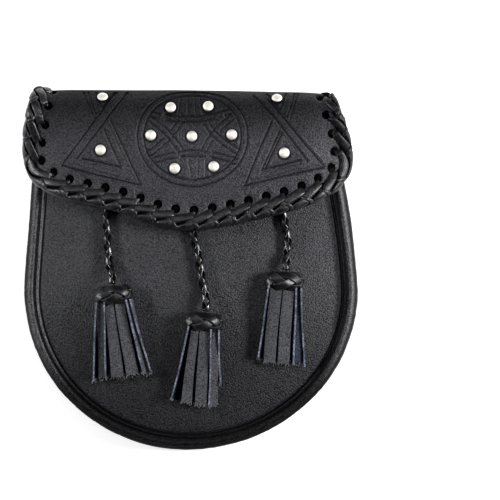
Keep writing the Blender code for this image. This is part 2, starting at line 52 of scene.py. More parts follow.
SEAM_Z = 0.0230
BELLY_CROWN = 0.0100
FLAP_CROWN = 0.0062
CROWN_FALL = 0.0330
CROWN_POWER = 0.8
BACK_RISE = 0.0069
RISE_START_Y = -0.0100
RISE_END_Y = 0.0300

FRONT_INSET = 0.0085
PIPING_INSET = 0.0080
PIPING_RADIUS = 0.00076
BACK_INSET = 0.0059

ROLL_Y = 0.08465
TOP_TILT = 0.0105
FLAP_Z = 0.0369
FLAP_LIFT = 0.0019
LIFT_LENGTH = 0.0600
FLAP_BOW = (0.0008, 0.0034)
BOW_X = 0.0800
LEFT_CURL = (0.0010, 0.0090)
RIGHT_CURL = (0.0045, 0.0100)
CURL_REACH = 0.0300
CURL_POWER = 2.2
CURL_START_Y = 0.0920
CURL_GROWTH = 0.0350
FLAP_LEFT_X = -0.0915
FLAP_RIGHT_X = 0.0882

LACE_PITCH = 0.0103
LACE_HOLE_INSET = 0.0090
INSET_LOSS = 0.0020  # at the flap's upper right corner
LOSS_START_Y = 0.0660
LOSS_GROWTH = 0.0180
LACE_HOLE_RADIUS = 0.0023
PUNCH_RADIUS = 0.00255  # the holes' mouths, stretched by the lace
LOWEST_HOLE_X = 0.0021

FLAP_EDGE = np.array((  # x, y from the roll down the left side, round and up the right side
    (-0.0894, 0.0856), (-0.0911, 0.0760), (-0.0915, 0.0660), (-0.0900, 0.0560),
    (-0.0866, 0.0505), (-0.0800, 0.0452), (-0.0700, 0.0410), (-0.0550, 0.0375),
    (-0.0380, 0.0332), (-0.0200, 0.0267), (-0.0030, 0.0233), (0.0150, 0.0250),
    (0.0420, 0.0308), (0.0640, 0.0370), (0.0780, 0.0440), (0.0845, 0.0505),
    (0.0876, 0.0560), (0.0882, 0.0640), (0.0872, 0.0720), (0.0857, 0.0780),
    (0.0840, 0.0838),
))
ROLL_SIDES = np.array((  # angle in degrees, left x, right x
    (0, -0.0816, 0.0723), (90, -0.0858, 0.0772), (180, -0.0894, 0.0840),
))
GUSSET_SECTION = (  # inset, distance from the front seam, distance from the back's outer face
    (0.0071, -0.0019, None), (0.0056, -0.0015, None), (0.0040, -0.0009, None),
    (0.0024, -0.0021, None), (0.0014, -0.0041, None), (0.0009, -0.0072, None),
    (0.0008, -0.0106, None),
    (0.0015, None, 0.0046),
    (0.0031, None, 0.0020), (0.0053, None, 0.0012),
)
STUDS = (  # name, x and y of its place in the middle of the leather
    ("left_upper", -0.0493, 0.0952), ("left_triangle", -0.0502, 0.0660),
    ("ring_upper_left", -0.0110, 0.0895), ("ring_upper_right", 0.0100, 0.0901),
    ("ring_left", -0.0221, 0.0742), ("ring_centre", 0.0009, 0.0736),
    ("ring_right", 0.0232, 0.0745), ("ring_lower_left", -0.0087, 0.0556),
    ("ring_lower_right", 0.0131, 0.0567), ("right_upper", 0.0485, 0.0945),
    ("right_triangle", 0.0525, 0.0644),
)
TASSELS = (  # name, knot x, knot y, lean in degrees
    ("left", -0.0430, -0.0153, 5.0), ("middle", 0.0077, -0.0304, -7.0),
    ("right", 0.0530, -0.0075, -4.0),
)
CORD_ROUTES = {  # x, y from the tab under the flap down to the knot
    "left": ((-0.0476, 0.0430), (-0.0475, 0.0350), (-0.0473, 0.0270), (-0.0468, 0.0162),
             (-0.0457, 0.0038)),
    "middle": ((-0.0008, 0.0330), (0.0000, 0.0260), (0.0016, 0.0184), (0.0046, 0.0061),
               (0.0068, -0.0079)),
    "right": ((0.0505, 0.0400), (0.0515, 0.0330), (0.0529, 0.0262), (0.0543, 0.0170),
              (0.0547, 0.0110)),
}
CORD_RADIUS = 0.00225
CORD_STRAIGHT = 0.0050
CORD_CLIMB = 0.0140
KNOT_HALF_WIDTH = 0.0112
KNOT_HALF_DEPTH = 0.0058
KNOT_HALF_HEIGHT = 0.0059
KNOT_RISE = KNOT_HALF_DEPTH + GAP  # height of its middle over the front
ANCHOR_SIZE = (0.0084, 0.0070, 0.0042)
LOOP_WIDTH = 0.0200
LOOP_X = 0.0450
LOOP_LOW = LOOP_THICKNESS / 2
LOOP_HIGH = BACK_RISE - GAP - LOOP_THICKNESS / 2  # where it is sewn on
LOOP_SECTION = (  # y, height of its leather's middle over the ground
    (0.0330, LOOP_HIGH), (0.0400, LOOP_HIGH), (0.0450, LOOP_LOW), (0.0710, LOOP_LOW),
    (0.0760, LOOP_HIGH), (0.0830, LOOP_HIGH),
)

# -------- view
CAMERA_PLACE = (0.0334, 0.0100, 1.5)
VIEW_WIDTH = 0.2868  # of the ground, at the camera's distance
SENSOR_MM = 36.0

LIGHTS = (  # name, direction it comes from, size in metres, power in watts
    ("key_right", (0.82, 0.08, 0.56), 0.38, 23.0),
    ("fill_left", (-0.84, 0.16, 0.53), 0.36, 11.5),
    ("top", (0.00, 0.34, 0.94), 0.70, 2.6),
)
LIGHT_DISTANCE = 1.30
SURROUND = 0.01  # how bright the studio's walls are
FLOOR_GLOW = 0.55  # the table is lit from below, which keeps shadows on it pale

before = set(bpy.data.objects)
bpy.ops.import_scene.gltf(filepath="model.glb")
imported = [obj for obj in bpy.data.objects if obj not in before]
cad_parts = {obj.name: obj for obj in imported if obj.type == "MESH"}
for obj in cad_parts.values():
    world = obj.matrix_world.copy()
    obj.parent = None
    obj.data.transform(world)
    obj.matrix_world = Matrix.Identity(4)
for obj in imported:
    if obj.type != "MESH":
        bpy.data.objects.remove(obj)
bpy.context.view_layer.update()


# -------- numbers and curves
UP = np.array((0.0, 0.0, 1.0))


def smoothstep(value):
    value = np.clip(value, 0.0, 1.0)
    return value * value * (3 - 2 * value)


def bell(distance, width):
    return np.exp(-(distance / width) ** 2)


def unit(vectors):
    return vectors / np.maximum(np.linalg.norm(vectors, axis=-1, keepdims=True), 1e-12)


def points_of(*parts):
    """Points of their coordinates, each a number or a grid that stretches to the others."""
    return np.stack(np.broadcast_arrays(*parts), axis=-1)


def round_angles(count):
    """Angles of this many even steps round a circle."""
    return np.arange(count) / count * 2 * math.pi


def turned(side, up, angles):
    """Directions at these angles from side towards up."""
    angles = angles[..., None]
    return side * np.cos(angles) + up * np.sin(angles)


def smooth_line(points, steps=12):
    """A Catmull-Rom curve through points, with this many steps between two of them."""
    points = np.asarray(points, float)
    knots = np.array([2 * points[0] - points[1], *points, 2 * points[-1] - points[-2]])
    t = (np.arange(steps) / steps)[None, :, None]
    before, start, end, after = (knots[i:len(knots) - 3 + i, None] for i in range(4))
    line = 0.5 * (2 * start + (end - before) * t + (2 * before - 5 * start + 4 * end - after) * t**2
                  + (3 * start - before - 3 * end + after) * t**3)
    return np.concatenate([line.reshape(-1, points.shape[1]), points[-1:]])


def lengths_along(line):
    return np.concatenate([[0], np.cumsum(np.linalg.norm(np.diff(line, axis=0), axis=1))])


def rows_at(line, along, lengths):
    """Points of line at these distances from its start."""
    return np.stack([np.interp(lengths, along, column) for column in line.T], axis=-1)


def resampled(line, count):
    along = lengths_along(line)
    return rows_at(line, along, np.linspace(0, along[-1], count))


def ripple(points, size, seed):
    """Smooth noise from -1 to 1 at each point, whose bumps are about this large."""
    flat = np.asarray(points, float).reshape(-1, 3) / size + seed
    values = [noise.noise(point) for point in flat.tolist()]
    return np.array(values).reshape(np.shape(points)[:-1])


# -------- form of the body
def sway(y):
    return -np.where(y > BELLY_Y, UPPER_SWAY, LOWER_SWAY) * (y - BELLY_Y) ** 2


def half_width(y, inset):
    climb = np.maximum(y - BELLY_Y, 0) / (MOUTH_Y - BELLY_Y)
    return HALF_WIDTH - inset - MOUTH_TAPER * climb**TAPER_POWER


def outline(turn, inset, share=1.0, top=MOUTH_Y):
    """x and y on the body's U-shaped outline, or on that U shrunk to a share of its width."""
    turn, inset, share = (part.astype(float) for part in np.broadcast_arrays(turn, inset, share))
    low = abs(turn) <= LOWER_SHARE
    angle = np.clip(turn / LOWER_SHARE, -1, 1) * math.pi / 2
    climb = np.clip((abs(turn) - LOWER_SHARE) / (1 - LOWER_SHARE), 0, 1)
    y = np.where(low, BELLY_Y - share * (LOWER_HEIGHT - inset) * np.cos(angle),
                 BELLY_Y + climb * (top - BELLY_Y))
    across = np.where(low, (HALF_WIDTH - inset) * np.sin(angle),
                      np.copysign(half_width(y, inset), turn))
    return sway(y) + share * across, y


def front_height(x, y):
    """Height of the front panel's outer face."""
    across = (x - sway(y)) / half_width(y, FRONT_INSET)
    down = np.maximum(BELLY_Y - y, 0) / (LOWER_HEIGHT - FRONT_INSET)
    spread = np.minimum(across**2 + down**2, 1.0)
    settle = smoothstep((y - BELLY_Y) / CROWN_FALL)
    crown = BELLY_CROWN + (FLAP_CROWN - BELLY_CROWN) * settle
    return SEAM_Z + crown * (1 - spread) ** CROWN_POWER


def back_height(y):
    return BACK_RISE * smoothstep((y - RISE_START_Y) / (RISE_END_Y - RISE_START_Y))


def flap_height(x, y):
    """Height of the middle of the flap's leather."""
    growth = smoothstep((CURL_START_Y - y) / CURL_GROWTH)
    height = FLAP_Z + FLAP_LIFT * (ROLL_Y - y) / LIFT_LENGTH
    height = height - (FLAP_BOW[0] + (FLAP_BOW[1] - FLAP_BOW[0]) * growth) * (x / BOW_X) ** 2
    for curl, distance in ((LEFT_CURL, x - FLAP_LEFT_X), (RIGHT_CURL, FLAP_RIGHT_X - x)):
        bend = np.clip(1 - distance / CURL_REACH, 0, None) ** CURL_POWER
        height = height - (curl[0] + (curl[1] - curl[0]) * growth) * bend
    return height


def roll_y(x):
    return ROLL_Y - TOP_TILT * x


def roll_radius(x):
    return (flap_height(x, roll_y(x)) - back_height(ROLL_Y) - SHEET_THICKNESS / 2) / 2


def roll_point(x, angle):
    """Middle of the roll's leather. angle is 0 at the back and pi at the front."""
    radius = roll_radius(x)
    z = back_height(ROLL_Y) + SHEET_THICKNESS / 2 + radius - radius * np.cos(angle)
    return points_of(x, roll_y(x) + radius * np.sin(angle), z)


def roll_sides(angles):
    """The roll's left and right x at these angles."""
    degrees, *sides = ROLL_SIDES.T
    return [np.interp(np.degrees(angles), degrees, side) for side in sides]


def flap_point(x, y):
    """Middle of the leather over x, y, on the flap or on the front of the roll."""
    x, y = np.asarray(x), np.asarray(y)
    rise = np.clip((y - roll_y(x)) / roll_radius(x), 0, 1)
    rolled = roll_point(x, math.pi - np.arcsin(rise))
    return np.where((y > roll_y(x))[..., None], rolled, points_of(x, y, flap_height(x, y)))


def flap_normal(x, y):
    nudge = 0.0005
    across = flap_point(x + nudge, y) - flap_point(x - nudge, y)
    upwards = flap_point(x, y + nudge) - flap_point(x, y - nudge)
    return unit(np.cross(across, upwards))


# -------- meshes
SAME_PLACE = 1e-6  # points closer than this are one


def new_object(name, data):
    made = bpy.data.objects.new(name, data)
    bpy.context.scene.collection.objects.link(made)
    return made


@contextmanager
def form_of(mesh):
    """The mesh as a form to work on, which is written back to it afterwards."""
    form = bmesh.new()
    form.from_mesh(mesh)
    yield form
    form.to_mesh(mesh)
    form.free()


def new_piece(name, points, faces, materials, replaced=(), face_slots=None, sharp=None,
              painted_shade=None):
    """A smooth closed mesh as a piece that rides on the pouch.

    The last argument gives, for its first points, how much shade is painted on the leather there.
    """
    mesh = bpy.data.meshes.new(name)
    mesh.from_pydata(np.asarray(points).tolist(), [], faces)
    mesh.shade_smooth()
    if face_slots is not None:
        mesh.polygons.foreach_set("material_index", np.asarray(face_slots, np.int32))
    if sharp:
        mesh.set_sharp_from_angle(angle=math.radians(sharp))
    for material in materials:
        mesh.materials.append(material)
    if painted_shade is not None:
        values = np.zeros(len(points), np.float32)
        values[:painted_shade.size] = painted_shade.ravel()
        mesh.attributes.new("painted_shade", "FLOAT", "POINT").data.foreach_set("value", values)
    with form_of(mesh) as form:
        bmesh.ops.recalc_face_normals(form, faces=form.faces)
    piece = new_object(name, mesh)
    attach(piece, "root")
    if replaced:
        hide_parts(*replaced)
    return piece


def weld(piece):
    """Joins points that meet and drops the empty faces between them."""
    with form_of(piece.data) as form:
        bmesh.ops.remove_doubles(form, verts=form.verts, dist=SAME_PLACE)
        bmesh.ops.dissolve_degenerate(form, edges=form.edges, dist=SAME_PLACE / 10)


def numbered(grid, start=0):
    """The number of each point in a grid of points, from start."""
    return start + np.arange(grid.shape[0] * grid.shape[1]).reshape(grid.shape[:2])


def quads(index):
    """Four-sided faces between neighbours in a grid of point numbers."""
    corners = (index[:-1, :-1], index[:-1, 1:], index[1:, 1:], index[1:, :-1])
    return np.stack(corners, axis=-1).reshape(-1, 4).tolist()


def tube_faces(rings, closed=False):
    """Faces through rings, a grid of a row of points for each. A closed tube meets its start."""
    index = numbered(rings)
    if closed:
        index = np.concatenate([index, index[:1]])
    return quads(np.concatenate([index, index[:, :1]], axis=1))


def shell(outer, inner, walls=("first", "last")):
    """Points, faces and face slots of a closed wall between two grids of the same size.

    walls names the rows that have an edge. The others meet themselves and are welded. The slot
    is 1 on the inside.
    """
    index = numbered(outer)
    faces = quads(index)
    slots = [0] * len(faces) + [1] * len(faces)
    faces += [face[::-1] for face in quads(index + index.size)]
    rows = {"first": index[0], "last": index[-1, ::-1]}
    for edge in (index[:, -1], index[::-1, 0], *(rows[wall] for wall in walls)):
        for here, there in zip(edge[:-1].tolist(), edge[1:].tolist()):
            faces.append([there, here, here + index.size, there + index.size])
            slots.append(0)
    return np.concatenate([outer.reshape(-1, 3), inner.reshape(-1, 3)]), faces, slots


def grid_normals(points):
    """Unit normals of a grid of points, from its neighbours along rows and columns."""
    return unit(np.cross(np.gradient(points, axis=1), np.gradient(points, axis=0)))


def oval_section(width, thickness, corners, squareness):
    """A flattened oval of points (across, up), which stands on zero height."""
    turn = round_angles(corners)
    across, up = (np.sign(part) * abs(part) ** squareness for part in (np.cos(turn), np.sin(turn)))
    return points_of(across * width / 2, (up + 1) * thickness / 2)


class Skins:
    """Closed swept skins that are joined into one mesh."""

    def __init__(self):
        self.points, self.faces, self.slots, self.count = [], [], [], 0

    def add(self, points, faces, slots):
        self.points.append(points.reshape(-1, 3))
        self.faces += [[corner + self.count for corner in face] for face in faces]
        self.slots += slots
        self.count += len(self.points[-1])

    def loft(self, rings, closed=False, slots=0):
        """A skin through rings. slots is one for all its faces, or one for each side of a ring."""
        count = rings.shape[1]
        faces = tube_faces(rings, closed)
        slots = np.broadcast_to(slots, count).tolist() * (len(faces) // count)
        if not closed:
            ends = list(range(len(rings) * count))
            faces += [ends[count - 1::-1], ends[-count:]]
            slots += [max(slots)] * 2
        self.add(rings, faces, slots)

    def sweep(self, path, ups, section, widths=1.0, closed=False, slots=0):
        """A skin of section along path, whose width may vary along it."""
        along = np.roll(path, -1, 0) - np.roll(path, 1, 0) if closed else np.gradient(path, axis=0)
        along = unit(along)
        side = unit(np.cross(along, ups))
        up = np.cross(side, along)
        widths = np.broadcast_to(widths, len(path))[:, None, None]
        self.loft(path[:, None] + side[:, None] * section[:, :1] * widths
                  + up[:, None] * section[:, 1:], closed, slots)

    def piece(self, name, materials, slot, replaced=(), sharp=None):
        return new_piece(name, np.concatenate(self.points), self.faces, materials, replaced,
                         self.slots, sharp)


# -------- materials
def with_alpha(colour):
    """A colour's three parts, or a grey level, with its alpha."""
    return (*colour, 1) if isinstance(colour, tuple) else (colour, colour, colour, 1)


class Nodes:
    """A material's node tree, with short calls for the nodes that this scene uses."""

    def __init__(self, name):
        self.material = bpy.data.materials.new(name)
        self.material.use_nodes = True
        self.tree = self.material.node_tree
        self.shader = self.tree.nodes["Principled BSDF"]
        self.place = self.add("ShaderNodeTexCoord").outputs["Object"]

    def feed(self, socket, value):
        """Links a node's output into socket, or sets a plain value on it."""
        if isinstance(value, bpy.types.NodeSocket):
            self.tree.links.new(value, socket)
        else:
            socket.default_value = with_alpha(value) if socket.type == "RGBA" else value

    def add(self, kind, inputs=None, **settings):
        node = self.tree.nodes.new(kind)
        for key, value in settings.items():
            setattr(node, key, value)
        for key, value in (inputs or {}).items():
            self.feed(node.inputs[key], value)
        return node

    def noise(self, scale, detail, stretch=None, rough=0.5):
        place = self.place
        if stretch:
            place = self.add("ShaderNodeMapping", {"Vector": place, "Scale": stretch}).outputs[0]
        return self.add("ShaderNodeTexNoise", {
            "Vector": place, "Scale": scale, "Detail": detail, "Roughness": rough}).outputs["Fac"]

    def ramp(self, value, *stops):
        """value through colours or grey levels at (position, colour) stops."""
        node = self.add("ShaderNodeValToRGB", {"Fac": value})
        elements = node.color_ramp.elements
        while len(elements) < len(stops):
            elements.new(0.5)
        for element, (position, colour) in zip(elements, stops):
            element.position = position
            element.color = with_alpha(colour)
        return node.outputs["Color"]

    def mix(self, share, first, second):
        return self.add("ShaderNodeMix", {0: share, 6: first, 7: second}, data_type="RGBA").outputs[2]

    def span(self, place, start, end, low, high):
        """A smooth change from low at place start to high at place end."""
        return self.add("ShaderNodeMapRange", {
            "Value": place, "From Min": start, "From Max": end, "To Min": low, "To Max": high},
            interpolation_type="SMOOTHSTEP").outputs[0]

    def painted_shade_along(self, painted_shade_axes, *values):
        """values taken towards black along an axis: painted shade on colour and gloss.

        Each entry is (axis, place where the painted shade starts, where it is full, the share).
        Two more places say where that fades again, to a third of the share.
        """
        for axis, start, end, share, *fading in painted_shade_axes:
            place = self.add("ShaderNodeSeparateXYZ", {"Vector": self.place}).outputs[axis]
            painted_darkening = self.span(place, start, end, 0.0, share)
            if fading:
                painted_darkening = self.span(place, *fading, painted_darkening, share / 3)
            values = [self.mix(painted_darkening, value, 0.0) for value in values]
        return values

    def bumps(self, *layers):
        """Bump layers as (height, distance, strength), each over the one before."""
        inputs = {}
        for height, distance, strength in layers:
            inputs |= {"Height": height, "Distance": distance, "Strength": strength}
            inputs["Normal"] = self.add("ShaderNodeBump", inputs).outputs[0]
        self.set(Normal=inputs["Normal"])

    def set(self, **values):
        for key, value in values.items():
            self.feed(self.shader.inputs[key.replace("_", " ")], value)


PORES = 1250.0  # in a metre of leather


def leather(name, dark, light, rough, grain, specular=0.5, tooled=False, painted_shade_axes=(), creased=0.0):
    """Dyed leather with pores, a fine grain and slow changes of colour and gloss, with painted shade
    where an attribute or an axis asks for it.
    """
    nodes = Nodes(name)
    cloud = nodes.noise(45.0, 3.0)
    fine = nodes.noise(PORES, 1.0)
    colour = nodes.ramp(cloud, (0.35, dark), (0.68, light))
    colour = nodes.mix(nodes.ramp(fine, (0.36, 0.75), (0.62, 0.0)), colour,
                       tuple(0.25 * part for part in dark))
    gloss = nodes.ramp(fine, (0.36, 0.50 * specular), (0.64, 1.40 * specular))
    if tooled:
        # painted shade from the attribute: darker and without gloss in the tooled lines, at seams and
        # round studs' feet
        depth = nodes.add("ShaderNodeAttribute", attribute_name="painted_shade").outputs["Fac"]
        painted_shade_mask = nodes.ramp(depth, (0.60, 0.0), (1.0, 0.72))
        colour = nodes.mix(painted_shade_mask, colour, tuple(0.15 * part for part in dark))
        gloss = nodes.mix(painted_shade_mask, gloss, 0.0)
    colour, gloss = nodes.painted_shade_along(painted_shade_axes, colour, gloss)
    nodes.set(Base_Color=colour, Specular_IOR_Level=gloss,
              Roughness=nodes.ramp(fine, (0.30, rough - 0.10), (0.70, rough + 0.12)))
    layers = [(fine, 0.0007, grain), (cloud, 0.0010, 0.15)]
    if creased:
        layers.append((nodes.noise(620.0, 2.0, (0.30, 1.0, 0.30)), 0.0006, creased))
    nodes.bumps(*layers)
    return nodes.material


WORN_COLOUR = (0.052, 0.052, 0.060)


def lace_leather(name, dark, light, rough, coat, uneven, scratched, specular, worn=0.0, painted_shade_axes=()):
    """Glossy lace with fine lengthways scratches and a surface that isn't quite even, with painted
    shade along an axis where asked.
    """
    nodes = Nodes(name)
    cloud = nodes.noise(330.0, 3.0)
    fine = nodes.noise(2300.0, 2.0, rough=0.7)
    scratches = nodes.noise(1500.0, 3.0, (1.0, 0.22, 1.0), rough=0.7)
    colour = nodes.ramp(cloud, (0.35, dark), (0.70, light))
    if worn:
        colour = nodes.mix(nodes.ramp(scratches, (0.50, 0.0), (0.68, worn)), colour, WORN_COLOUR)
    colour, gloss, coating = nodes.painted_shade_along(painted_shade_axes, colour, specular, coat)
    nodes.set(Base_Color=colour, Specular_IOR_Level=gloss, Coat_Weight=coating, Coat_Roughness=0.18,
              Roughness=nodes.ramp(cloud, (0.3, rough - 0.06), (0.7, rough + 0.12)))
    nodes.bumps((cloud, uneven, 0.6), (scratches, 0.00022, scratched),
                (fine, 0.00012, scratched))
    return nodes.material


def suede(name, pores, stops, patches, patch_stops, patch_colour, rough, specular, bump):
    """Loose fibres without gloss, darker in patches. bump is its distance and strength."""
    nodes = Nodes(name)
    fine = nodes.noise(pores, 3.0, rough=0.7)
    patch = nodes.ramp(nodes.noise(*patches), *patch_stops)
    nodes.set(Base_Color=nodes.mix(patch, nodes.ramp(fine, *stops), patch_colour),
              Roughness=rough, Specular_IOR_Level=specular)
    nodes.bumps((fine, *bump))
    return nodes.material


def stud_metal():
    nodes = Nodes("stud_nickel")
    cloud = nodes.noise(420.0, 2.0)
    fine = nodes.noise(2400.0, 2.0)
    colour = nodes.ramp(cloud, (0.3, (0.84, 0.82, 0.75)), (0.7, (0.96, 0.94, 0.89)))
    nodes.set(Base_Color=colour, Metallic=1.0, Roughness=nodes.ramp(fine, (0.3, 0.60), (0.7, 0.72)))
    nodes.bumps((cloud, 0.0005, 0.35), (fine, 0.00004, 0.3))
    return nodes.material


def thread_material():
    nodes = Nodes("waxed_thread")
    twist = nodes.add("ShaderNodeTexWave", {"Vector": nodes.place, "Scale": 900.0}).outputs["Fac"]
    nodes.set(Base_Color=nodes.ramp(twist, (0.2, (0.012, 0.012, 0.013)), (0.8, (0.04, 0.04, 0.042))),
              Roughness=0.5)
    nodes.bumps((twist, 0.0001, 0.5))
    return nodes.material


# painted shade: darker towards the bottom of the front
PANEL_LEATHER = leather(
    "panel_leather", (0.0165, 0.0165, 0.0222), (0.0255, 0.0255, 0.0338), 0.54, 0.80,
    specular=0.55, tooled=True, painted_shade_axes=(("Y", -0.010, -0.062, 0.40),))
# painted shade: darker towards the top and over the roll
FLAP_LEATHER = leather(
    "flap_leather", (0.0245, 0.0243, 0.0320), (0.0345, 0.0342, 0.0443), 0.47, 0.85,
    specular=0.42, tooled=True, painted_shade_axes=(("Y", 0.064, 0.092, 0.64), ("Y", 0.0950, 0.1000, 0.85)))
# painted shade: darker towards the bottom, and on the outer face just below the seam's height, less
# so lower down
GUSSET_LEATHER = leather(
    "gusset_leather", (0.0165, 0.0165, 0.0215), (0.0260, 0.0260, 0.0330), 0.50, 0.5,
    specular=0.80, tooled=True, creased=0.40,
    painted_shade_axes=(("Y", -0.034, -0.076, 0.80), ("Z", 0.0231, 0.0211, 0.90, 0.0190, 0.0150)))
INSIDE_LEATHER = leather(
    "flesh_side", (0.010, 0.0095, 0.010), (0.018, 0.017, 0.018), 0.78, 0.6, specular=0.2)
# painted shade: the punched walls are far darker than the leather, as shade inside the holes
HOLE_WALL = leather(
    "punched_edge", (0.0030, 0.0028, 0.0030), (0.0060, 0.0056, 0.0060), 0.8, 0.5, specular=0.1)
# painted shade: darker towards the bottom and on the right
PIPING_LEATHER = leather(
    "piping_leather", (0.0400, 0.0400, 0.0460), (0.0620, 0.0620, 0.0700), 0.42, 0.6,
    specular=0.75, painted_shade_axes=(("Y", -0.030, -0.074, 0.88), ("X", 0.060, 0.076, 0.93)))
# painted shade: darker on the right
LACE = lace_leather(
    "lace_leather", (0.0030, 0.0030, 0.0040), (0.0085, 0.0085, 0.0105), 0.30, coat=0.06,
    uneven=0.0002, scratched=0.75, specular=0.48, worn=0.50, painted_shade_axes=(("X", 0.060, 0.086, 0.45),))
LACE_CUT = leather(
    "lace_cut_edge", (0.004, 0.004, 0.005), (0.060, 0.060, 0.070), 0.6, 0.4, specular=0.4)
# painted shade: near black, for the hidden turns, plugs and cores that lie in shade between laces
SHADE_BLACK = leather(
    "painted_shade_black", (0.0006, 0.0006, 0.0008), (0.0014, 0.0014, 0.0018), 0.8, 0.2, specular=0.03)
CORD_LACE = lace_leather(
    "cord_lace", (0.0020, 0.0020, 0.0026), (0.0055, 0.0055, 0.0068), 0.25, coat=0.28,
    uneven=0.00006, scratched=0.20, specular=0.45)
KNOT_LACE = lace_leather(
    "knot_lace", (0.0022, 0.0022, 0.0030), (0.0055, 0.0055, 0.0068), 0.34, coat=0.05,
    uneven=0.00010, scratched=0.40, specular=0.46, worn=0.15)
STRIP_FACE = suede(
    "strip_leather_face", PORES, ((0.38, (0.008, 0.0085, 0.0110)), (0.61, (0.098, 0.099, 0.112))),
    (120.0, 2.0), ((0.35, 0.30), (0.65, 0.0)), (0.016, 0.0165, 0.020), 0.62, 0.35, (0.0005, 0.9))
STRIP_CUT = suede(  # blue-dyed fibres of a cut edge, worn pale along the rim
    "strip_leather_cut", 1100.0, ((0.30, (0.020, 0.026, 0.048)), (0.48, (0.115, 0.132, 0.185)),
                                  (0.66, (0.36, 0.38, 0.46))),
    (130.0, 1.0), ((0.36, 0.80), (0.60, 0.0)), (0.030, 0.036, 0.056), 0.85, 0.2, (0.0004, 0.8))
STRIP_FIBRE = leather(
    "strip_fibres", (0.100, 0.102, 0.108), (0.260, 0.262, 0.270), 0.8, 0.2)
STRIP_BACK = leather(
    "strip_turned_over", (0.020, 0.025, 0.042), (0.060, 0.068, 0.096), 0.85, 0.5, specular=0.15)
# the flesh side's navy, darkened as painted shade, on strips' backs and on the low strips under the
# others
STRIP_SHADE = leather(
    "strip_flesh_painted_shade", (0.0022, 0.0032, 0.0085), (0.0060, 0.0080, 0.0170), 0.85, 0.3,
    specular=0.08)
NICKEL = stud_metal()
THREAD = thread_material()


# -------- laced edge
CORE = smooth_line(np.array((  # mm out from the hole line, mm over the leather's middle
    (-2.0, 1.15), (0.0, 1.15), (2.0, 1.35), (4.0, 1.95), (6.0, 2.40), (8.0, 2.60), (9.6, 2.25),
    (10.6, 1.25), (10.9, 0.0), (10.6, -1.25), (9.4, -2.25), (7.5, -2.60), (5.5, -2.30),
    (3.6, -1.50), (2.0, -1.20), (0.0, -1.15), (-3.2, -1.15))), 10) * MM
CORE_LENGTHS = lengths_along(CORE) - lengths_along(CORE)[10]
CORE_NORMALS = unit(np.gradient(CORE, axis=0)) @ np.array(((0.0, 1.0), (-1.0, 0.0)))


class Edge:
    """The flap's free edge, its row of lace holes and places on or over the leather between."""

    def __init__(self):
        angles = np.linspace(math.pi / 3, math.pi, 60)[:-1]
        left, right = (roll_point(side, angles) for side in roll_sides(angles))
        edge = smooth_line(FLAP_EDGE, 16)
        flap = flap_point(edge[:, 0], np.minimum(edge[:, 1], roll_y(edge[:, 0])))
        self.edge = resampled(np.concatenate([left, flap, right[::-1]]), 1400)
        x, y, _ = self.edge.T
        radial = self.edge - points_of(
            x, roll_y(x), back_height(ROLL_Y) + SHEET_THICKNESS / 2 + roll_radius(x))
        radial[:, 0] = 0
        self.normal = np.where((y > roll_y(x))[:, None], unit(radial), flap_normal(x, y))
        inwards = unit(np.cross(self.normal, unit(np.gradient(self.edge, axis=0))))
        for _ in range(60):
            inwards[1:-1] = (inwards[:-2] + inwards[1:-1] * 2 + inwards[2:]) / 4
        self.inwards = unit(inwards)
        self.inset = LACE_HOLE_INSET - INSET_LOSS * np.where(
            x > 0, smoothstep((y - LOSS_START_Y) / LOSS_GROWTH), 0)
        holes = self.edge + self.inwards * self.inset[:, None]
        self.along = lengths_along(holes)
        lowest = int(np.argmin(holes[:, 1]))
        self.middle = self.along[lowest] + LOWEST_HOLE_X - holes[lowest, 0]
        room = 2 * LACE_HOLE_RADIUS
        self.first = math.ceil((room - self.middle) / LACE_PITCH)
        self.last = math.floor((self.along[-1] - room - self.middle) / LACE_PITCH)

    def at(self, number):
        """(edge point, inwards, normal, hole inset) this many pitches from the middle."""
        over = np.clip(self.middle + np.asarray(number, float) * LACE_PITCH, 0, self.along[-1])
        edge, inwards, normal = (rows_at(rows, self.along, over)
                                 for rows in (self.edge, self.inwards, self.normal))
        return edge, unit(inwards), unit(normal), np.interp(over, self.along, self.inset)

    def hole(self, number):
        """(middle, inwards, normal) of the hole of this number, or of several holes."""
        edge, inwards, normal, inset = self.at(number)
        middle = edge + inwards * inset[..., None]
        x, y = middle[..., 0], middle[..., 1]
        middle[..., 2] = np.where(y > roll_y(x), middle[..., 2], flap_height(x, y))
        return middle, inwards, normal

    def place(self, number, round_edge, rise):
        """Points this far round the lacing's core from the hole line, and this far off it."""
        edge, inwards, normal, inset = self.at(number)
        out, up = (np.interp(round_edge, CORE_LENGTHS, middle)
                   + np.interp(round_edge, CORE_LENGTHS, off) * rise
                   for middle, off in zip(CORE.T, CORE_NORMALS.T))
        out = out * np.where(out > 0, inset / LACE_HOLE_INSET, 1.0)
        base = edge + inwards * (inset - out)[..., None]
        x, y = base[..., 0], base[..., 1]
        # over the flap the leather's own curve carries the lace
        flat = (out < inset) & (y < roll_y(x))
        base[..., 2] = np.where(flat, flap_height(x, y), base[..., 2])
        return base + normal * up[..., None]


EDGE = Edge()


# -------- embossed ornament
RING_MIDDLE = np.array((1.3, 73.7))  # mm, in x and in distance along the leather
RING_SIZE = np.array((30.9, 28.2))


def arc(start, middle, end, count):
    """Points of a parabola through three points."""
    start, middle, end = (np.array(point, float) for point in (start, middle, end))
    t = np.linspace(0, 1, count)[:, None]
    control = 2 * middle - (start + end) / 2
    return (1 - t) ** 2 * start + 2 * t * (1 - t) * control + t**2 * end


def ring(inset):
    turn = np.radians(np.linspace(0.0, 360.0, 73))
    return RING_MIDDLE + (RING_SIZE - inset) * points_of(np.cos(turn), np.sin(turn))


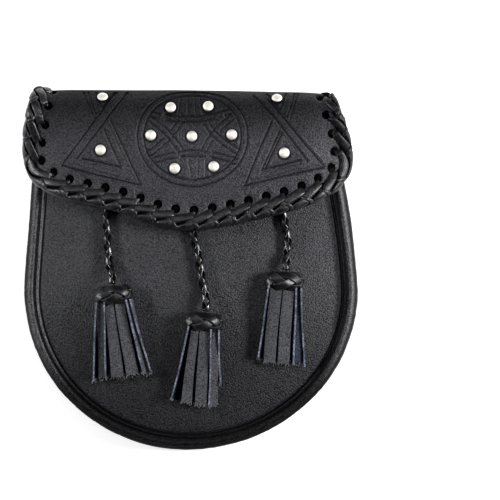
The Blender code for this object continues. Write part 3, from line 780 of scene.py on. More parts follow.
def band(line, width, gaps):
    """Two lines along both sides of a band, left out near each gap as (x, v, reach)."""
    along = unit(np.gradient(line, axis=0))
    strokes = []
    for side in (-0.5, 0.5):
        points = line + points_of(-along[:, 1], along[:, 0]) * side * width
        keep = np.ones(len(points), bool)
        for x, v, reach in gaps:
            keep &= np.hypot(points[:, 0] - x, points[:, 1] - v) > reach
        for run in np.split(np.arange(len(points)), np.where(~keep)[0]):
            run = run[keep[run]]
            if len(run) > 1:
                strokes.append(points[run])
    return strokes


def ornament():
    """Strokes of the tooled pattern as (points in mm, depth in mm)."""
    strokes = []

    def cut(depth, *lines):
        strokes.extend((np.array(line, float), depth) for line in lines)

    # rings
    cut(0.46, ring(0.0), ring(3.7))
    # the interlaced bands inside them
    left_cross, right_cross = (-12.8, 74.2), (14.6, 73.6)
    bands = (
        ((-22.5, 86.2), (-0.1, 83.0), (22.2, 87.8), ((-15.8, 83.9, 2.0), (16.4, 84.6, 2.0))),
        ((-20.4, 59.9), (2.6, 64.0), (26.0, 59.2), ((-7.2, 63.4, 1.8), (10.4, 63.4, 1.8))),
        ((-21.5, 82.4), (-12.4, 74.6), (-5.4, 65.2), ()),
        ((-5.6, 81.9), (-13.9, 71.4), (-24.0, 63.4), ((*left_cross, 2.7),)),
        ((9.0, 81.4), (15.2, 73.0), (27.2, 64.6), ()),
        ((23.6, 84.6), (13.6, 75.2), (7.8, 65.4), ((*right_cross, 2.6),)),
    )
    for start, middle, end, gaps in bands:
        cut(0.40, *band(arc(start, middle, end, 41), 3.0, gaps))
    # the bars over and under them
    cut(0.34, ((-4.9, 97.4), (-6.6, 85.9)), ((-1.0, 98.6), (-1.4, 85.4)),
        ((2.5, 98.4), (3.3, 85.4)), ((5.6, 96.8), (7.3, 86.2)))
    cut(0.34, ((-1.0, 61.2), (0.9, 50.2)), ((4.4, 61.0), (4.4, 49.9)), ((8.8, 60.8), (8.5, 50.4)),
        ((12.0, 53.6), (10.4, 50.4)), ((19.8, 58.2), (16.6, 55.0)))
    # left triangle: its long band, its short side, its base and the triangle inside
    cut(0.48, ((-41.5, 101.3), (-49.9, 87.2), (-53.0, 82.9), (-71.1, 58.6)),
        ((-35.4, 101.3), (-38.2, 95.6), (-47.6, 82.1), (-63.3, 61.2)))
    cut(0.46, ((-44.6, 82.7), (-28.1, 47.4)), ((-71.7, 57.5), (-61.6, 54.2), (-27.4, 46.3)))
    cut(0.26, ((-45.2, 78.6), (-31.2, 49.4)), ((-69.6, 58.6), (-50.4, 53.1), (-30.2, 48.2)))
    cut(0.44, ((-48.2, 77.4), (-38.6, 56.2), (-60.8, 61.2)))
    cut(0.26, ((-46.6, 76.8), (-35.9, 54.0), (-61.4, 59.8)), ((-49.6, 76.6), (-60.9, 62.0)))
    # the tip of a triangle turned over, above it
    cut(0.38, ((-60.2, 101.3), (-58.6, 95.9), (-53.6, 84.0)),
        ((-57.6, 101.3), (-56.2, 95.9), (-52.8, 86.0), (-51.2, 87.6)),
        ((-53.2, 101.3), (-51.8, 95.9), (-49.3, 90.2), (-45.4, 95.6), (-42.6, 101.3)))
    # right triangle, the same turned the other way
    cut(0.48, ((43.6, 95.4), (50.2, 86.4), (62.5, 70.9), (74.8, 56.7)),
        ((35.4, 98.4), (40.1, 92.5), (48.5, 82.1), (65.3, 59.8)))
    cut(0.50, ((45.7, 82.1), (39.6, 68.6), (31.0, 47.2)), ((30.0, 46.0), (55.8, 52.2), (74.0, 56.4)))
    cut(0.30, ((33.4, 48.2), (58.6, 54.3), (71.6, 57.2)), ((51.2, 75.2), (59.2, 65.8)))
    cut(0.48, ((50.0, 76.6), (39.9, 54.6)), ((51.2, 75.2), (42.1, 56.0)),
        ((41.2, 55.2), (50.2, 57.2), (61.8, 60.2)))
    cut(0.32, ((39.6, 53.1), (50.2, 55.3), (61.4, 58.5)))
    cut(0.38, ((60.6, 101.3), (59.1, 94.6), (55.8, 83.0)),
        ((58.4, 101.3), (57.2, 94.0), (54.1, 84.2), (51.4, 87.0)),
        ((53.6, 101.3), (52.1, 94.0), (50.2, 88.9), (47.4, 93.2), (42.6, 100.6)))
    return strokes


TOOL_REACH = 1.6  # mm, how far from its line a stroke is felt
GROOVE = (1.35, 0.72)  # depth as a share of the stroke's, and width in mm
BANKS = (0.40, 0.52, 1.30)  # the same of the ridges beside it, and how far out they lie


def stroke_depth(x, v):
    """Depth in metres of the tooled lines at places x, v, in metres."""
    places = points_of(x.ravel(), v.ravel()) / MM
    depth = np.zeros(len(places))
    for points, deep in ornament():
        low, high = points.min(0) - TOOL_REACH, points.max(0) + TOOL_REACH
        near = np.where(((places > low) & (places < high)).all(1))[0]
        nearest = math.inf
        for start, end in zip(points[:-1], points[1:]):
            along = end - start
            away = places[near] - start
            share = np.clip(away @ along / (along @ along), 0, 1)[:, None]
            nearest = np.minimum(nearest, np.linalg.norm(away - share * along, axis=1))
        groove = deep * (GROOVE[0] * bell(nearest, GROOVE[1])
                         - BANKS[0] * bell(nearest - BANKS[2], BANKS[1]))
        depth[near] = np.where(abs(groove) > abs(depth[near]), groove, depth[near])
    return depth.reshape(x.shape) * MM


# -------- back, roll and flap
FINE = 4  # fine steps in a coarse one
COLUMNS = 106 * FINE
FLAP_ROWS = 33 * FINE
ROLL_ROWS = 13 * FINE
FINE_ROLL_ANGLE = 1.62
ROLL_BACK_ROWS = 12
BACK_ROWS = 46
FINE_ROWS = FLAP_ROWS + ROLL_ROWS + 1
FLAP_CORNERS = ((-0.0887, 0.0532), (0.0864, 0.0533))  # x and y of its lower left and right
BACK_EASE = 0.0005  # how far the back's upper corners are drawn in
SLOPE_STEP = 0.001
HOLE_SINK, HOLE_SINK_WIDTH = 0.00055, 0.0009
STUD_SINK, STUD_SINK_WIDTH = 0.00025, 0.0044
SHADE_RADIUS, SHADE_WIDTH = 0.0033, 0.0008  # of the painted shadow ring at a stud's foot
SHADE_DROP = 0.00035  # how far that painted shadow lies below the stud's middle, darkest on its lower side
DEEPEST_TOOL = 0.52 * MM
WAVE_HEIGHT, WAVE_LENGTH = 0.00022, 0.022
PUNCH_DEPTH = 0.009


def flap_places():
    """x and y over the flap: its lower edge is the first row and the roll the last."""
    edge = smooth_line(FLAP_EDGE, 24)
    left, right = (int(np.argmin(np.linalg.norm(edge - corner, axis=1))) for corner in FLAP_CORNERS)
    lower = resampled(edge[left:right + 1], COLUMNS + 1)
    left_side, right_side = (resampled(side, FLAP_ROWS + 1)[:, None]
                             for side in (edge[left::-1], edge[right:]))
    across = np.linspace(0, 1, COLUMNS + 1)
    top_x = left_side[-1, 0, 0] + (right_side[-1, 0, 0] - left_side[-1, 0, 0]) * across
    top = points_of(top_x, roll_y(top_x))
    # the columns part evenly from the top: the lower row's spacing follows its own x
    share = (lower[:, 0] - lower[0, 0]) / (lower[-1, 0] - lower[0, 0])
    lower = rows_at(lower, share, across)
    s, t = across[:, None], np.linspace(0, 1, FLAP_ROWS + 1)[:, None, None]
    corners = ((1 - s) * (1 - t) * lower[0] + s * (1 - t) * lower[-1]
               + (1 - s) * t * top[0] + s * t * top[-1])
    return (1 - t) * lower + t * top + (1 - s) * left_side + s * right_side - corners


def sheet_middle():
    """The sheet's middle as a grid, its normals, and on flap and roll the distance along it."""
    x, y = np.moveaxis(flap_places(), -1, 0)
    angles = np.concatenate([
        np.linspace(math.pi, FINE_ROLL_ANGLE, ROLL_ROWS + 1)[1:],
        np.linspace(FINE_ROLL_ANGLE, 0, ROLL_BACK_ROWS + 1)[1:]])[:, None]
    across = np.linspace(0, 1, COLUMNS + 1)
    left, right = roll_sides(angles)
    roll_x = left + (right - left) * across
    outer_radius = roll_radius(roll_x) + SHEET_THICKNESS / 2
    along = np.concatenate([y, roll_y(roll_x) + outer_radius * (math.pi - angles)])
    turn = np.linspace(1, 0, BACK_ROWS + 1)[1:, None]
    edge_x, edge_y = outline(turn, BACK_INSET, top=ROLL_Y)
    back_x = sway(edge_y) + (edge_x - sway(edge_y)) * (2 * across - 1)
    climb = np.maximum(turn - LOWER_SHARE, 0) / (1 - LOWER_SHARE)
    back_x = back_x - BACK_EASE * climb**2 * np.sign(back_x)
    back_y = edge_y - TOP_TILT * back_x * climb
    middle = np.concatenate([
        points_of(x, y, flap_height(x, y)), roll_point(roll_x, angles),
        points_of(back_x, back_y, back_height(back_y) + SHEET_THICKNESS / 2)])
    normals = grid_normals(middle)
    slope = (back_height(back_y + SLOPE_STEP) - back_height(back_y - SLOPE_STEP)) / (2 * SLOPE_STEP)
    normals[-BACK_ROWS:] = unit(points_of(0.0, slope, -1.0))
    return middle, normals, along


def sheet_relief(places, along, holes):
    """How deep the sheet is, tooled and sunk at each hole and under each stud, and how much shade is
    painted on it: in the tooled lines and round each stud's foot.
    """
    tooled = stroke_depth(places[..., 0], along)
    flat = places.reshape(-1, 3)
    sunk, painted_shade_share = 0.0, 0.0
    for hole in holes:
        beyond = np.maximum(np.linalg.norm(flat - hole, axis=1) - LACE_HOLE_RADIUS, 0)
        sunk = np.maximum(sunk, HOLE_SINK * bell(beyond, HOLE_SINK_WIDTH))
    for _, x, y in STUDS:
        away = flat - flap_point(x, y)
        sunk += STUD_SINK * bell(np.linalg.norm(away, axis=1), STUD_SINK_WIDTH)
        # painted shadow round each stud's foot, shifted to its lower side
        distance = np.linalg.norm(away + (0.0, SHADE_DROP, 0.0), axis=1) - SHADE_RADIUS
        painted_shade_share = np.maximum(painted_shade_share, np.minimum(1.6 * bell(distance, SHADE_WIDTH), 1.0))
    # painted shade in the tooled lines, by their depth
    painted_shade_share = np.maximum(np.clip(tooled / DEEPEST_TOOL, 0, 1), painted_shade_share.reshape(tooled.shape))
    return tooled + sunk.reshape(tooled.shape), painted_shade_share


def sheet_waves(middle):
    """Slow waves of the whole sheet, made on every other point and smoothed."""
    waves = WAVE_HEIGHT * ripple(middle[::2, ::2], WAVE_LENGTH, 3.1)
    waves = np.repeat(np.repeat(waves, 2, 0), 2, 1)[:middle.shape[0], :middle.shape[1]]
    waves[1:-1, 1:-1] = (waves[:-2, 1:-1] + waves[2:, 1:-1] + waves[1:-1, :-2]
                         + waves[1:-1, 2:]) / 4
    return waves


def sheet_mesh(outer, inner):
    """Points, faces and slots of the sheet: fine on the flap and roll, and coarse elsewhere."""
    coarse_rows = np.concatenate([np.arange(0, FINE_ROWS, FINE), np.arange(FINE_ROWS, len(outer))])
    grids = (outer[:FINE_ROWS], outer[FINE_ROWS:, ::FINE], inner[coarse_rows][:, ::FINE])
    fine = numbered(grids[0])
    coarse = numbered(grids[1], fine.size)
    under = numbered(grids[2], fine.size + coarse.size)
    faces = quads(fine) + quads(coarse)
    slots = [0] * len(faces)
    faces += [face[::-1] for face in quads(under)]
    slots += [1] * (len(faces) - len(slots))

    def bridge(line, other, every=1):
        """Faces between a line and one that has fewer points, in each face every so many."""
        line, other = line.tolist(), other.tolist()
        for step in range(len(other) - 1):
            faces.append(line[step * every:(step + 1) * every + 1] + other[step:step + 2][::-1])
            slots.append(0)

    bridge(fine[-1], coarse[0], FINE)
    bridge(fine[0][::-1], under[0][::-1], FINE)
    split = (FINE_ROWS - 1) // FINE
    for side in (0, -1):
        bridge(fine[:, side], under[:split + 1, side], FINE)
        bridge(np.append(fine[-1, side], coarse[:, side]), under[split:, side])
    bridge(coarse[-1], under[-1])
    return np.concatenate([grid.reshape(-1, 3) for grid in grids]), faces, slots


def punch(piece, centres, normals):
    """Cuts a round hole through the piece at each centre."""
    cutter_mesh = bpy.data.meshes.new("punches")
    with form_of(cutter_mesh) as form:
        for centre, normal in zip(centres, normals):
            turn = Vector(normal).to_track_quat("Z", "X").to_matrix().to_4x4()
            turn.translation = centre
            bmesh.ops.create_cone(form, cap_ends=True, segments=28, radius1=PUNCH_RADIUS,
                                  radius2=PUNCH_RADIUS, depth=PUNCH_DEPTH, matrix=turn)
    cutter_mesh.materials.append(HOLE_WALL)
    cutter = new_object("punches", cutter_mesh)
    modifier = piece.modifiers.new("punch", "BOOLEAN")
    modifier.object = cutter
    modifier.operation = "DIFFERENCE"
    modifier.solver = "EXACT"
    punched = piece.evaluated_get(bpy.context.evaluated_depsgraph_get())
    baked = bpy.data.meshes.new_from_object(punched)
    piece.modifiers.clear()
    piece.data = baked
    bpy.data.objects.remove(cutter)


def make_sheet():
    """The back, the roll and the flap with its tooled ornament and punched holes, in one piece."""
    middle, normals, along = sheet_middle()
    holes, _, hole_normals = EDGE.hole(np.arange(EDGE.first, EDGE.last + 1))
    waves = sheet_waves(middle)
    depth = np.zeros(waves.shape)
    depth[:FINE_ROWS], painted_shade_share = sheet_relief(middle[:FINE_ROWS], along[:FINE_ROWS], holes)
    outer = middle + normals * (SHEET_THICKNESS / 2 - depth + waves)[..., None]
    inner = middle - normals * (SHEET_THICKNESS / 2 - waves)[..., None]
    outer[..., 2] = np.maximum(outer[..., 2], 0.0)
    points, faces, slots = sheet_mesh(outer, inner)
    sheet = new_piece("back_and_flap_leather", points, faces, (FLAP_LEATHER, INSIDE_LEATHER),
                      ("back_and_flap",), slots, painted_shade=painted_shade_share)
    weld(sheet)
    punch(sheet, holes, hole_normals)


# -------- front, gusset and piping
PANEL_REACH = 0.080  # from the seam to the front's middle, about
FINE_SHARE = 0.045  # of that reach, where the rings lie closer
SEAM_DIP, SEAM_DIP_WIDTH = 0.0016, 0.0011
SLACK = ((0.00035, 0.034, 7.7), (0.00010, 0.008, 2.2))  # height, size and seed of its waves
SLACK_START = 0.010  # from the seam
CORD_PRESS, CORD_PRESS_WIDTH = 0.00030, 0.0060
SEAM_SHADE_WIDTH = 0.0058
LEAST_THICKNESS = 0.0006


def make_front_panel():
    """The crowned front, which dips to its seam and a little under each cord."""
    turns = np.linspace(-1, 1, 241)
    rings = np.concatenate([np.linspace(0, FINE_SHARE, 12)[:-1], np.linspace(FINE_SHARE, 1, 42)])
    rings = rings[:, None]
    x, y = outline(turns, FRONT_INSET, share=1 - rings)
    from_edge = rings * PANEL_REACH
    ground = points_of(x, y, 0.0)
    slack = sum(size * ripple(ground, length, seed) for size, length, seed in SLACK)
    height = (front_height(x, y) - SEAM_DIP * bell(from_edge, SEAM_DIP_WIDTH)
              + slack * smoothstep(from_edge / SLACK_START))
    for route in CORD_ROUTES.values():
        line = smooth_line(route, 4)
        near = np.hypot(x[..., None] - line[:, 0], y[..., None] - line[:, 1]).min(-1)
        height -= CORD_PRESS * bell(near, CORD_PRESS_WIDTH)
    inside = np.minimum(front_height(x, y) - FRONT_THICKNESS, height - LEAST_THICKNESS)
    points, faces, slots = shell(points_of(x, y, height), points_of(x, y, inside), ("first",))
    # painted shade where the front dips to the seam on the right
    right = smoothstep((turns - 0.30) / 0.30)
    painted_shade_share = np.minimum(1.25 * bell(from_edge, SEAM_SHADE_WIDTH) * right, 1.0)
    weld(new_piece("front_panel_leather", points, faces, (PANEL_LEATHER, INSIDE_LEATHER),
                   ("front_panel",), slots, painted_shade=painted_shade_share))


MEASURED_ROW = 12  # of the gusset's section, along which its creases are spaced
CREASES = (  # height, spacing along, number down, and two seeds
    (0.00018, 0.0034, 2.2, 0.0, 1.3), (0.00009, 0.0016, 3.0, 5.0, 4.4),
)
BEND_TURN, BEND_REACH = 0.42, 0.30  # where the gusset bends round the lower corners
VALLEY_INSET, VALLEY_WIDTH = 0.0062, 0.0012
BACK_LINE_INSET = 0.003  # of the line whose height the gusset's back edge follows
GUSSET_WAVE, GUSSET_WAVE_LENGTH = 0.00035, 0.030


def make_gusset():
    """The band between the seams, creased across most where it bends round the lower corners."""
    turns = np.linspace(-1, 1, 521)
    insets, from_seam, from_back = np.array(GUSSET_SECTION, float).T
    _, back_y = outline(turns, BACK_LINE_INSET)
    heights = np.where(np.isnan(from_seam), back_height(back_y)[:, None] + from_back,
                       SEAM_Z + from_seam)
    sections = np.stack([smooth_line(points_of(insets, row), 6) for row in heights], axis=1)
    inset, z = sections[..., 0], sections[..., 1]
    middle = points_of(*outline(turns, inset), z)
    normals = -grid_normals(middle)
    length = lengths_along(middle[MEASURED_ROW])
    down = np.linspace(0, 1, len(sections))[:, None]
    face = smoothstep(down * 5) * smoothstep((1 - down) * 4)
    creases = sum(height * ripple(points_of(length / spacing, down * number, shift), 1.0, seed)
                  for height, spacing, number, shift, seed in CREASES)
    creases *= (0.45 + 0.55 * bell(abs(turns) - BEND_TURN, BEND_REACH)) * face
    broad = GUSSET_WAVE * ripple(middle, GUSSET_WAVE_LENGTH, 9.1) * face
    outer = middle + normals * (GUSSET_THICKNESS / 2 + creases + broad)[..., None]
    inner = middle - normals * (GUSSET_THICKNESS / 2 - broad)[..., None]
    points, faces, slots = shell(outer, inner)
    # painted shade in the valley beside the seam, most on the right
    painted_shade_share = ((0.62 + 0.30 * smoothstep((turns - 0.2) / 0.3))
            * bell(inset * (z > SEAM_Z - 0.0060) - VALLEY_INSET, VALLEY_WIDTH))
    new_piece("gusset_leather", points, faces, (GUSSET_LEATHER, INSIDE_LEATHER),
              ("gusset",), slots, painted_shade=painted_shade_share)


PIPING_RISE = 0.0004  # over the seam
PIPING_WANDER = 0.00008


def make_piping():
    """The round cord in the front seam, a little uneven."""
    x, y = outline(np.linspace(-1, 1, 481), PIPING_INSET)
    rise = PIPING_RISE + PIPING_WANDER * ripple(points_of(x, y, 0.0), 0.006, 2.0)
    path = points_of(x, y, SEAM_Z + rise)
    section = oval_section(2 * PIPING_RADIUS, 2 * PIPING_RADIUS, 14, 1.0) - (0, PIPING_RADIUS)
    skins = Skins()
    skins.sweep(path, UP, section, widths=1 + 0.04 * ripple(path, 0.004, 8.0))
    skins.piece("piping_leather_cord", (PIPING_LEATHER,), "lace_leather", ("piping",))


# -------- plaited lacing
SIDE_START, SIDE_GROWTH = 6.6, 2.2  # in pitches from the middle


def side_share(number):
    """1 along the flap's sides and 0 along its lower edge."""
    return float(smoothstep((abs(number + 0.5) - SIDE_START) / SIDE_GROWTH))


LACE_RUNS = {  # run: points of (pitches along from its hole, mm round the core, mm off it)
    "outwards": ((0.00, 2.5, -2.6), (-0.01, 2.5, -1.5), (-0.07, 2.8, -0.30), (-0.28, 3.6, 0.18),
                 (-0.62, 4.8, 0.30), (-0.94, 6.0, 0.22), (-1.20, 7.2, -0.10), (-1.45, 8.6, -0.60)),
    "rim": ((0.12, 7.0, -0.75), (0.00, 7.7, 0.05), (-0.18, 8.7, 0.50), (-0.45, 9.9, 0.50),
            (-0.72, 11.2, 0.25), (-1.00, 12.7, 0.05), (-1.35, 14.7, 0.0), (-1.70, 16.8, 0.0),
            (-2.05, 19.2, 0.0), (-2.35, 21.6, -0.15)),
    "crossing": ((-0.26, 5.6, -0.30), (-0.17, 6.5, 0.55), (-0.05, 7.7, 1.05), (0.06, 8.9, 1.00),
                 (0.16, 10.2, 0.50), (0.24, 11.3, -0.30)),
}
SIDE_RUNS = {  # the same along the flap's sides, where the lace runs more steeply to the edge
    "outwards": ((-0.02, 2.2, -2.6), (-0.04, 2.2, -1.5), (-0.10, 2.6, -0.25), (-0.29, 3.6, 0.20),
                 (-0.56, 5.2, 0.30), (-0.82, 7.0, 0.22), (-1.04, 8.5, -0.08), (-1.22, 9.8, -0.65)),
    "rim": ((0.02, 7.6, -0.75), (-0.10, 8.4, 0.05), (-0.28, 9.5, 0.50), (-0.52, 10.9, 0.50),
            (-0.76, 12.4, 0.25), (-1.00, 13.9, 0.05), (-1.30, 15.7, 0.0), (-1.60, 17.5, 0.0),
            (-1.90, 19.4, 0.0), (-2.20, 21.6, -0.15)),
    "crossing": ((-0.34, 6.4, -0.30), (-0.26, 7.2, 0.50), (-0.15, 8.3, 0.95), (-0.04, 9.5, 0.90),
                 (0.06, 10.8, 0.45), (0.14, 11.9, -0.30)),
}
LACE_FORMS = {  # run: width and thickness in mm, width at its start and end as shares
    "outwards": (4.2, 0.90, 0.80, 0.45),
    "rim": (4.1, 0.90, 0.70, 0.90),
    "crossing": (1.9, 0.65, 0.70, 0.60),
}
LACE_SLOTS = [2] + [0] * 8 + [2, 2] + [0] * 8 + [2]  # its face, and its cut edges
LACE_STRAY = (0.010, 0.08, 0.05)  # by how much a run's points stray in each of its measures
LACE_TILT = 0.05
LACE_WIDTHS = (0.95, 1.04)  # the least and the most, as shares
HOLE_FILL = 0.97  # of the hole's width
HOLE_FILL_DEPTHS = (0.0011, 0.0002)  # of its bottom and top under the leather's middle
CORE_START = 3.6 * MM  # where the painted-shade band starts, round the core
CORE_THICK = 0.0007
CORE_WAVE = 0.00010
CORE_WAVES = 900  # radians in a metre round the core
CORE_RISE = 0.00095  # on the underside, from this far round the core and over this length
CORE_RISE_START, CORE_RISE_LENGTH = 0.0185, 0.0025


def lace_section(thickness):
    """Shares of the width and heights over the underside, round a flat domed section."""
    across = np.sin(np.linspace(-1, 1, 11) * math.pi / 2)
    top = thickness * (1.0 - 0.22 * across**2 - 0.45 * abs(across) ** 9)
    low = np.full(len(across) - 2, 0.12 * thickness)
    return np.concatenate([across, across[::-1][1:-1]]) / 2, np.concatenate([top, low])


def make_edge_lacing():
    """One lace laid round and round the flap's edge, crossing itself on top at each hole."""
    skins = Skins()
    rng = np.random.default_rng(11)
    around = round_angles(20)
    for number in range(EDGE.first, EDGE.last + 1):
        side = side_share(number)
        for run, (width, thickness, first, last) in LACE_FORMS.items():
            route = np.array(LACE_RUNS[run]) * (1 - side) + np.array(SIDE_RUNS[run]) * side
            for measure, stray in enumerate(LACE_STRAY):
                route[1:-1, measure] += rng.normal(0, stray, len(route) - 2)
            line = smooth_line(route, 5) * (LACE_PITCH, MM, MM)
            t = np.linspace(0, 1, len(line))
            along = unit(np.gradient(line[:, :2], axis=0))
            widths = (width * MM * rng.uniform(*LACE_WIDTHS)
                      * (first + (1 - first) * smoothstep(t * 4))
                      * (last + (1 - last) * smoothstep((1 - t) * 4)))
            across, heights = lace_section(thickness * MM)
            spread = across * widths[:, None]
            tilt = rng.normal(0, LACE_TILT) * np.sin(t * math.pi)[:, None] * spread
            skins.loft(EDGE.place(number + (line[:, :1] - along[:, 1:] * spread) / LACE_PITCH,
                                  line[:, 1:2] + along[:, :1] * spread,
                                  line[:, 2:] + heights + tilt), slots=LACE_SLOTS)
        # a black plug in the hole's lower half, painted shade where the lace turns through it
        middle, inwards, normal = EDGE.hole(number)
        rim = middle + HOLE_FILL * PUNCH_RADIUS * turned(inwards, np.cross(normal, inwards), around)
        skins.loft(np.array([rim - normal * depth for depth in HOLE_FILL_DEPTHS]), slots=1)
    # what fills the plait: one band under the laces where their hidden turns lie, painted black as
    # the shade in the gaps between them
    numbers = np.linspace(EDGE.first - 0.6, EDGE.last + 0.6, 260)[:, None]
    round_edge = np.linspace(CORE_START, CORE_LENGTHS[-1], 40)
    height = (CORE_WAVE * np.sin(numbers * 2 * math.pi + round_edge * CORE_WAVES)
              + CORE_RISE * smoothstep((round_edge - CORE_RISE_START) / CORE_RISE_LENGTH))
    points, faces, _ = shell(EDGE.place(numbers, round_edge, height),
                             EDGE.place(numbers, round_edge, height - CORE_THICK))
    skins.add(points, faces, [1] * len(faces))
    skins.piece("edge_lace", (LACE, SHADE_BLACK, LACE_CUT), "lace_leather", ("edge_lacing",))


# -------- studs
STUD_HEAD = (  # radius and height in mm
    (0.0, 1.46), (0.8, 1.43), (1.55, 1.30), (2.2, 1.08), (2.66, 0.78), (2.92, 0.40), (2.98, 0.02),
)
STUD_POST = ((2.86, -0.16), (1.25, -0.18), (1.20, -3.30), (0.0, -3.35))
STUD_DENT, STUD_DENT_LENGTH = 0.035, 1.3  # mm
STUD_SETTLE = 0.0001  # how far a head is pressed into the leather


def make_studs():
    """Domed nickel heads, slightly uneven as if hammered on, with their posts."""
    profile = np.concatenate([smooth_line(STUD_HEAD, 3), STUD_POST])
    radius, height = profile[:, :1], profile[:, 1:]
    turns = round_angles(40)
    for number, (name, x, y) in enumerate(STUDS):
        out = flap_normal(x, y)
        side = unit(np.cross((0.0, 1.0, 0.0), out))
        spokes = turned(side, np.cross(out, side), turns)
        dent = STUD_DENT * ripple(
            points_of(radius * np.cos(turns), radius * np.sin(turns), number * 7.0),
            STUD_DENT_LENGTH, 0.4)
        rise = SHEET_THICKNESS / 2 - STUD_SETTLE + (height + dent * (height > 0)) * MM
        points = flap_point(x, y) + radius[..., None] * MM * spokes + out * rise[..., None]
        weld(new_piece(f"stud_dome_{name}", points.reshape(-1, 3), tube_faces(points), (NICKEL,),
                       (f"stud_{name}",), sharp=50))


# -------- tassels
def laid(x, y, height):
    """Points this high over the front panel."""
    return points_of(x, y, front_height(x, y) + height)


def tassel_axes(tassel):
    """Level directions across the tassel and down it."""
    angle = math.radians(tassel[3])
    return (np.array((math.cos(angle), math.sin(angle), 0.0)),
            np.array((math.sin(angle), -math.cos(angle), 0.0)))


def tassel_point(tassel, across, down, height):
    """A point measured from the knot's middle, across and down the tassel's lean."""
    side, ahead = tassel_axes(tassel)
    x, y = (tassel[1 + axis] + across * side[axis] + down * ahead[axis] for axis in (0, 1))
    return laid(x, y, height)


def cord_line(tassel):
    """The cord's middle from its tab under the flap to its tassel's head."""
    ends = [tassel_point(tassel, 0.0, -KNOT_HALF_HEIGHT - distance, 0.0)[:2]
            for distance in (CORD_STRAIGHT, 2 * GAP)]
    line = resampled(smooth_line((*CORD_ROUTES[tassel[0]], *ends)), 160)
    along = lengths_along(line)
    low = CORD_RADIUS + GAP
    climb = (KNOT_RISE - low) * smoothstep(1 - (along[-1] - along) / CORD_CLIMB)
    return laid(line[:, 0], line[:, 1], low + climb)


BRAID_TURN = 0.0236  # length in which a lace goes once round
BRAID_RADIUS = 0.00096  # of the laces' middles
BRAID_WEAVE = 0.00036  # how far they go in and out
BRAID_LACE = (0.0027, 0.00115)  # width and thickness
BRAID_CORE = 0.0020
BRAID_LACES = ((1, 0.0), (1, math.pi), (-1, math.pi / 2), (-1, 3 * math.pi / 2))  # sense, phase


def make_cord(tassel):
    """A round braid of laces, and its middle."""
    path = cord_line(tassel)
    ahead = unit(np.gradient(path, axis=0))
    side = unit(np.cross(ahead, UP))
    up = np.cross(side, ahead)
    turn = 2 * math.pi * lengths_along(path) / BRAID_TURN
    section = oval_section(*BRAID_LACE, 12, 0.70)
    skins = Skins()
    for sense, phase in BRAID_LACES:
        radial = turned(side, up, sense * turn + phase)
        out = BRAID_RADIUS + sense * BRAID_WEAVE * np.sin(2 * turn)
        skins.sweep(path + radial * out[:, None], radial, section)
    # its middle, painted black as shade between the laces
    core = oval_section(BRAID_CORE, BRAID_CORE, 10, 1.0) - (0, BRAID_CORE / 2)
    skins.sweep(path, up, core, slots=1)
    cord = skins.piece(f"tassel_cord_braid_{tassel[0]}", (CORD_LACE, SHADE_BLACK), "lace_leather",
                       (f"tassel_cord_{tassel[0]}",))
    return cord, path


KNOT_BIGHTS = 5
KNOT_TURNS = 3
KNOT_STEPS = 420
KNOT_WIDTH, KNOT_THICK = 0.0046, 0.0014  # of its lace
KNOT_WEAVE = 0.0007  # how far the lace goes over and under itself
KNOT_WANDER = 0.0036  # how far it goes up and down the tassel
KNOT_INSET = (0.0012, 0.0010)  # how far inside the knot's sides and front it runs
KNOT_LEAN = 0.75  # how far it leans over where it turns back
KNOT_CORE = (0.0074, 0.0046, 0.0037)  # half its size across, down and up


def make_knot(tassel):
    """A Turk's head of three leads round the tassel's head."""
    angle = KNOT_TURNS * round_angles(KNOT_STEPS)
    phase = angle * KNOT_BIGHTS / KNOT_TURNS
    wander = np.sin(phase)
    swell = KNOT_WEAVE * (np.sin(2 * phase) - wander**2) - KNOT_THICK / 2
    path = tassel_point(
        tassel, (KNOT_HALF_WIDTH - KNOT_INSET[0] + swell) * np.cos(angle), KNOT_WANDER * wander,
        KNOT_RISE + (KNOT_HALF_DEPTH - KNOT_INSET[1] + swell) * np.sin(angle))
    side, ahead = tassel_axes(tassel)
    out = unit(turned(side / KNOT_HALF_WIDTH, UP / KNOT_HALF_DEPTH, angle))
    ups = unit(out + ahead * KNOT_LEAN * wander[:, None])
    skins = Skins()
    section = oval_section(KNOT_WIDTH, KNOT_THICK, 16, 0.50) - (0, KNOT_THICK / 2)
    skins.sweep(path, ups, section, closed=True, slots=[2, 2] + [0] * 14)
    # the head of bundled strips that fills the knot, painted black as the shade inside it
    across, down, up = KNOT_CORE
    rings = np.linspace(-1, 1, 13)[:, None]
    around = round_angles(32)
    swell = np.sqrt(1 - 0.35 * rings**2)
    skins.loft(tassel_point(tassel, across * swell * np.cos(around), down * rings,
                            KNOT_RISE + up * swell * np.sin(around)), slots=1)
    return skins.piece(f"tassel_knot_turks_head_{tassel[0]}", (KNOT_LACE, SHADE_BLACK, LACE_CUT),
                       "lace_leather", (f"tassel_knot_{tassel[0]}",))


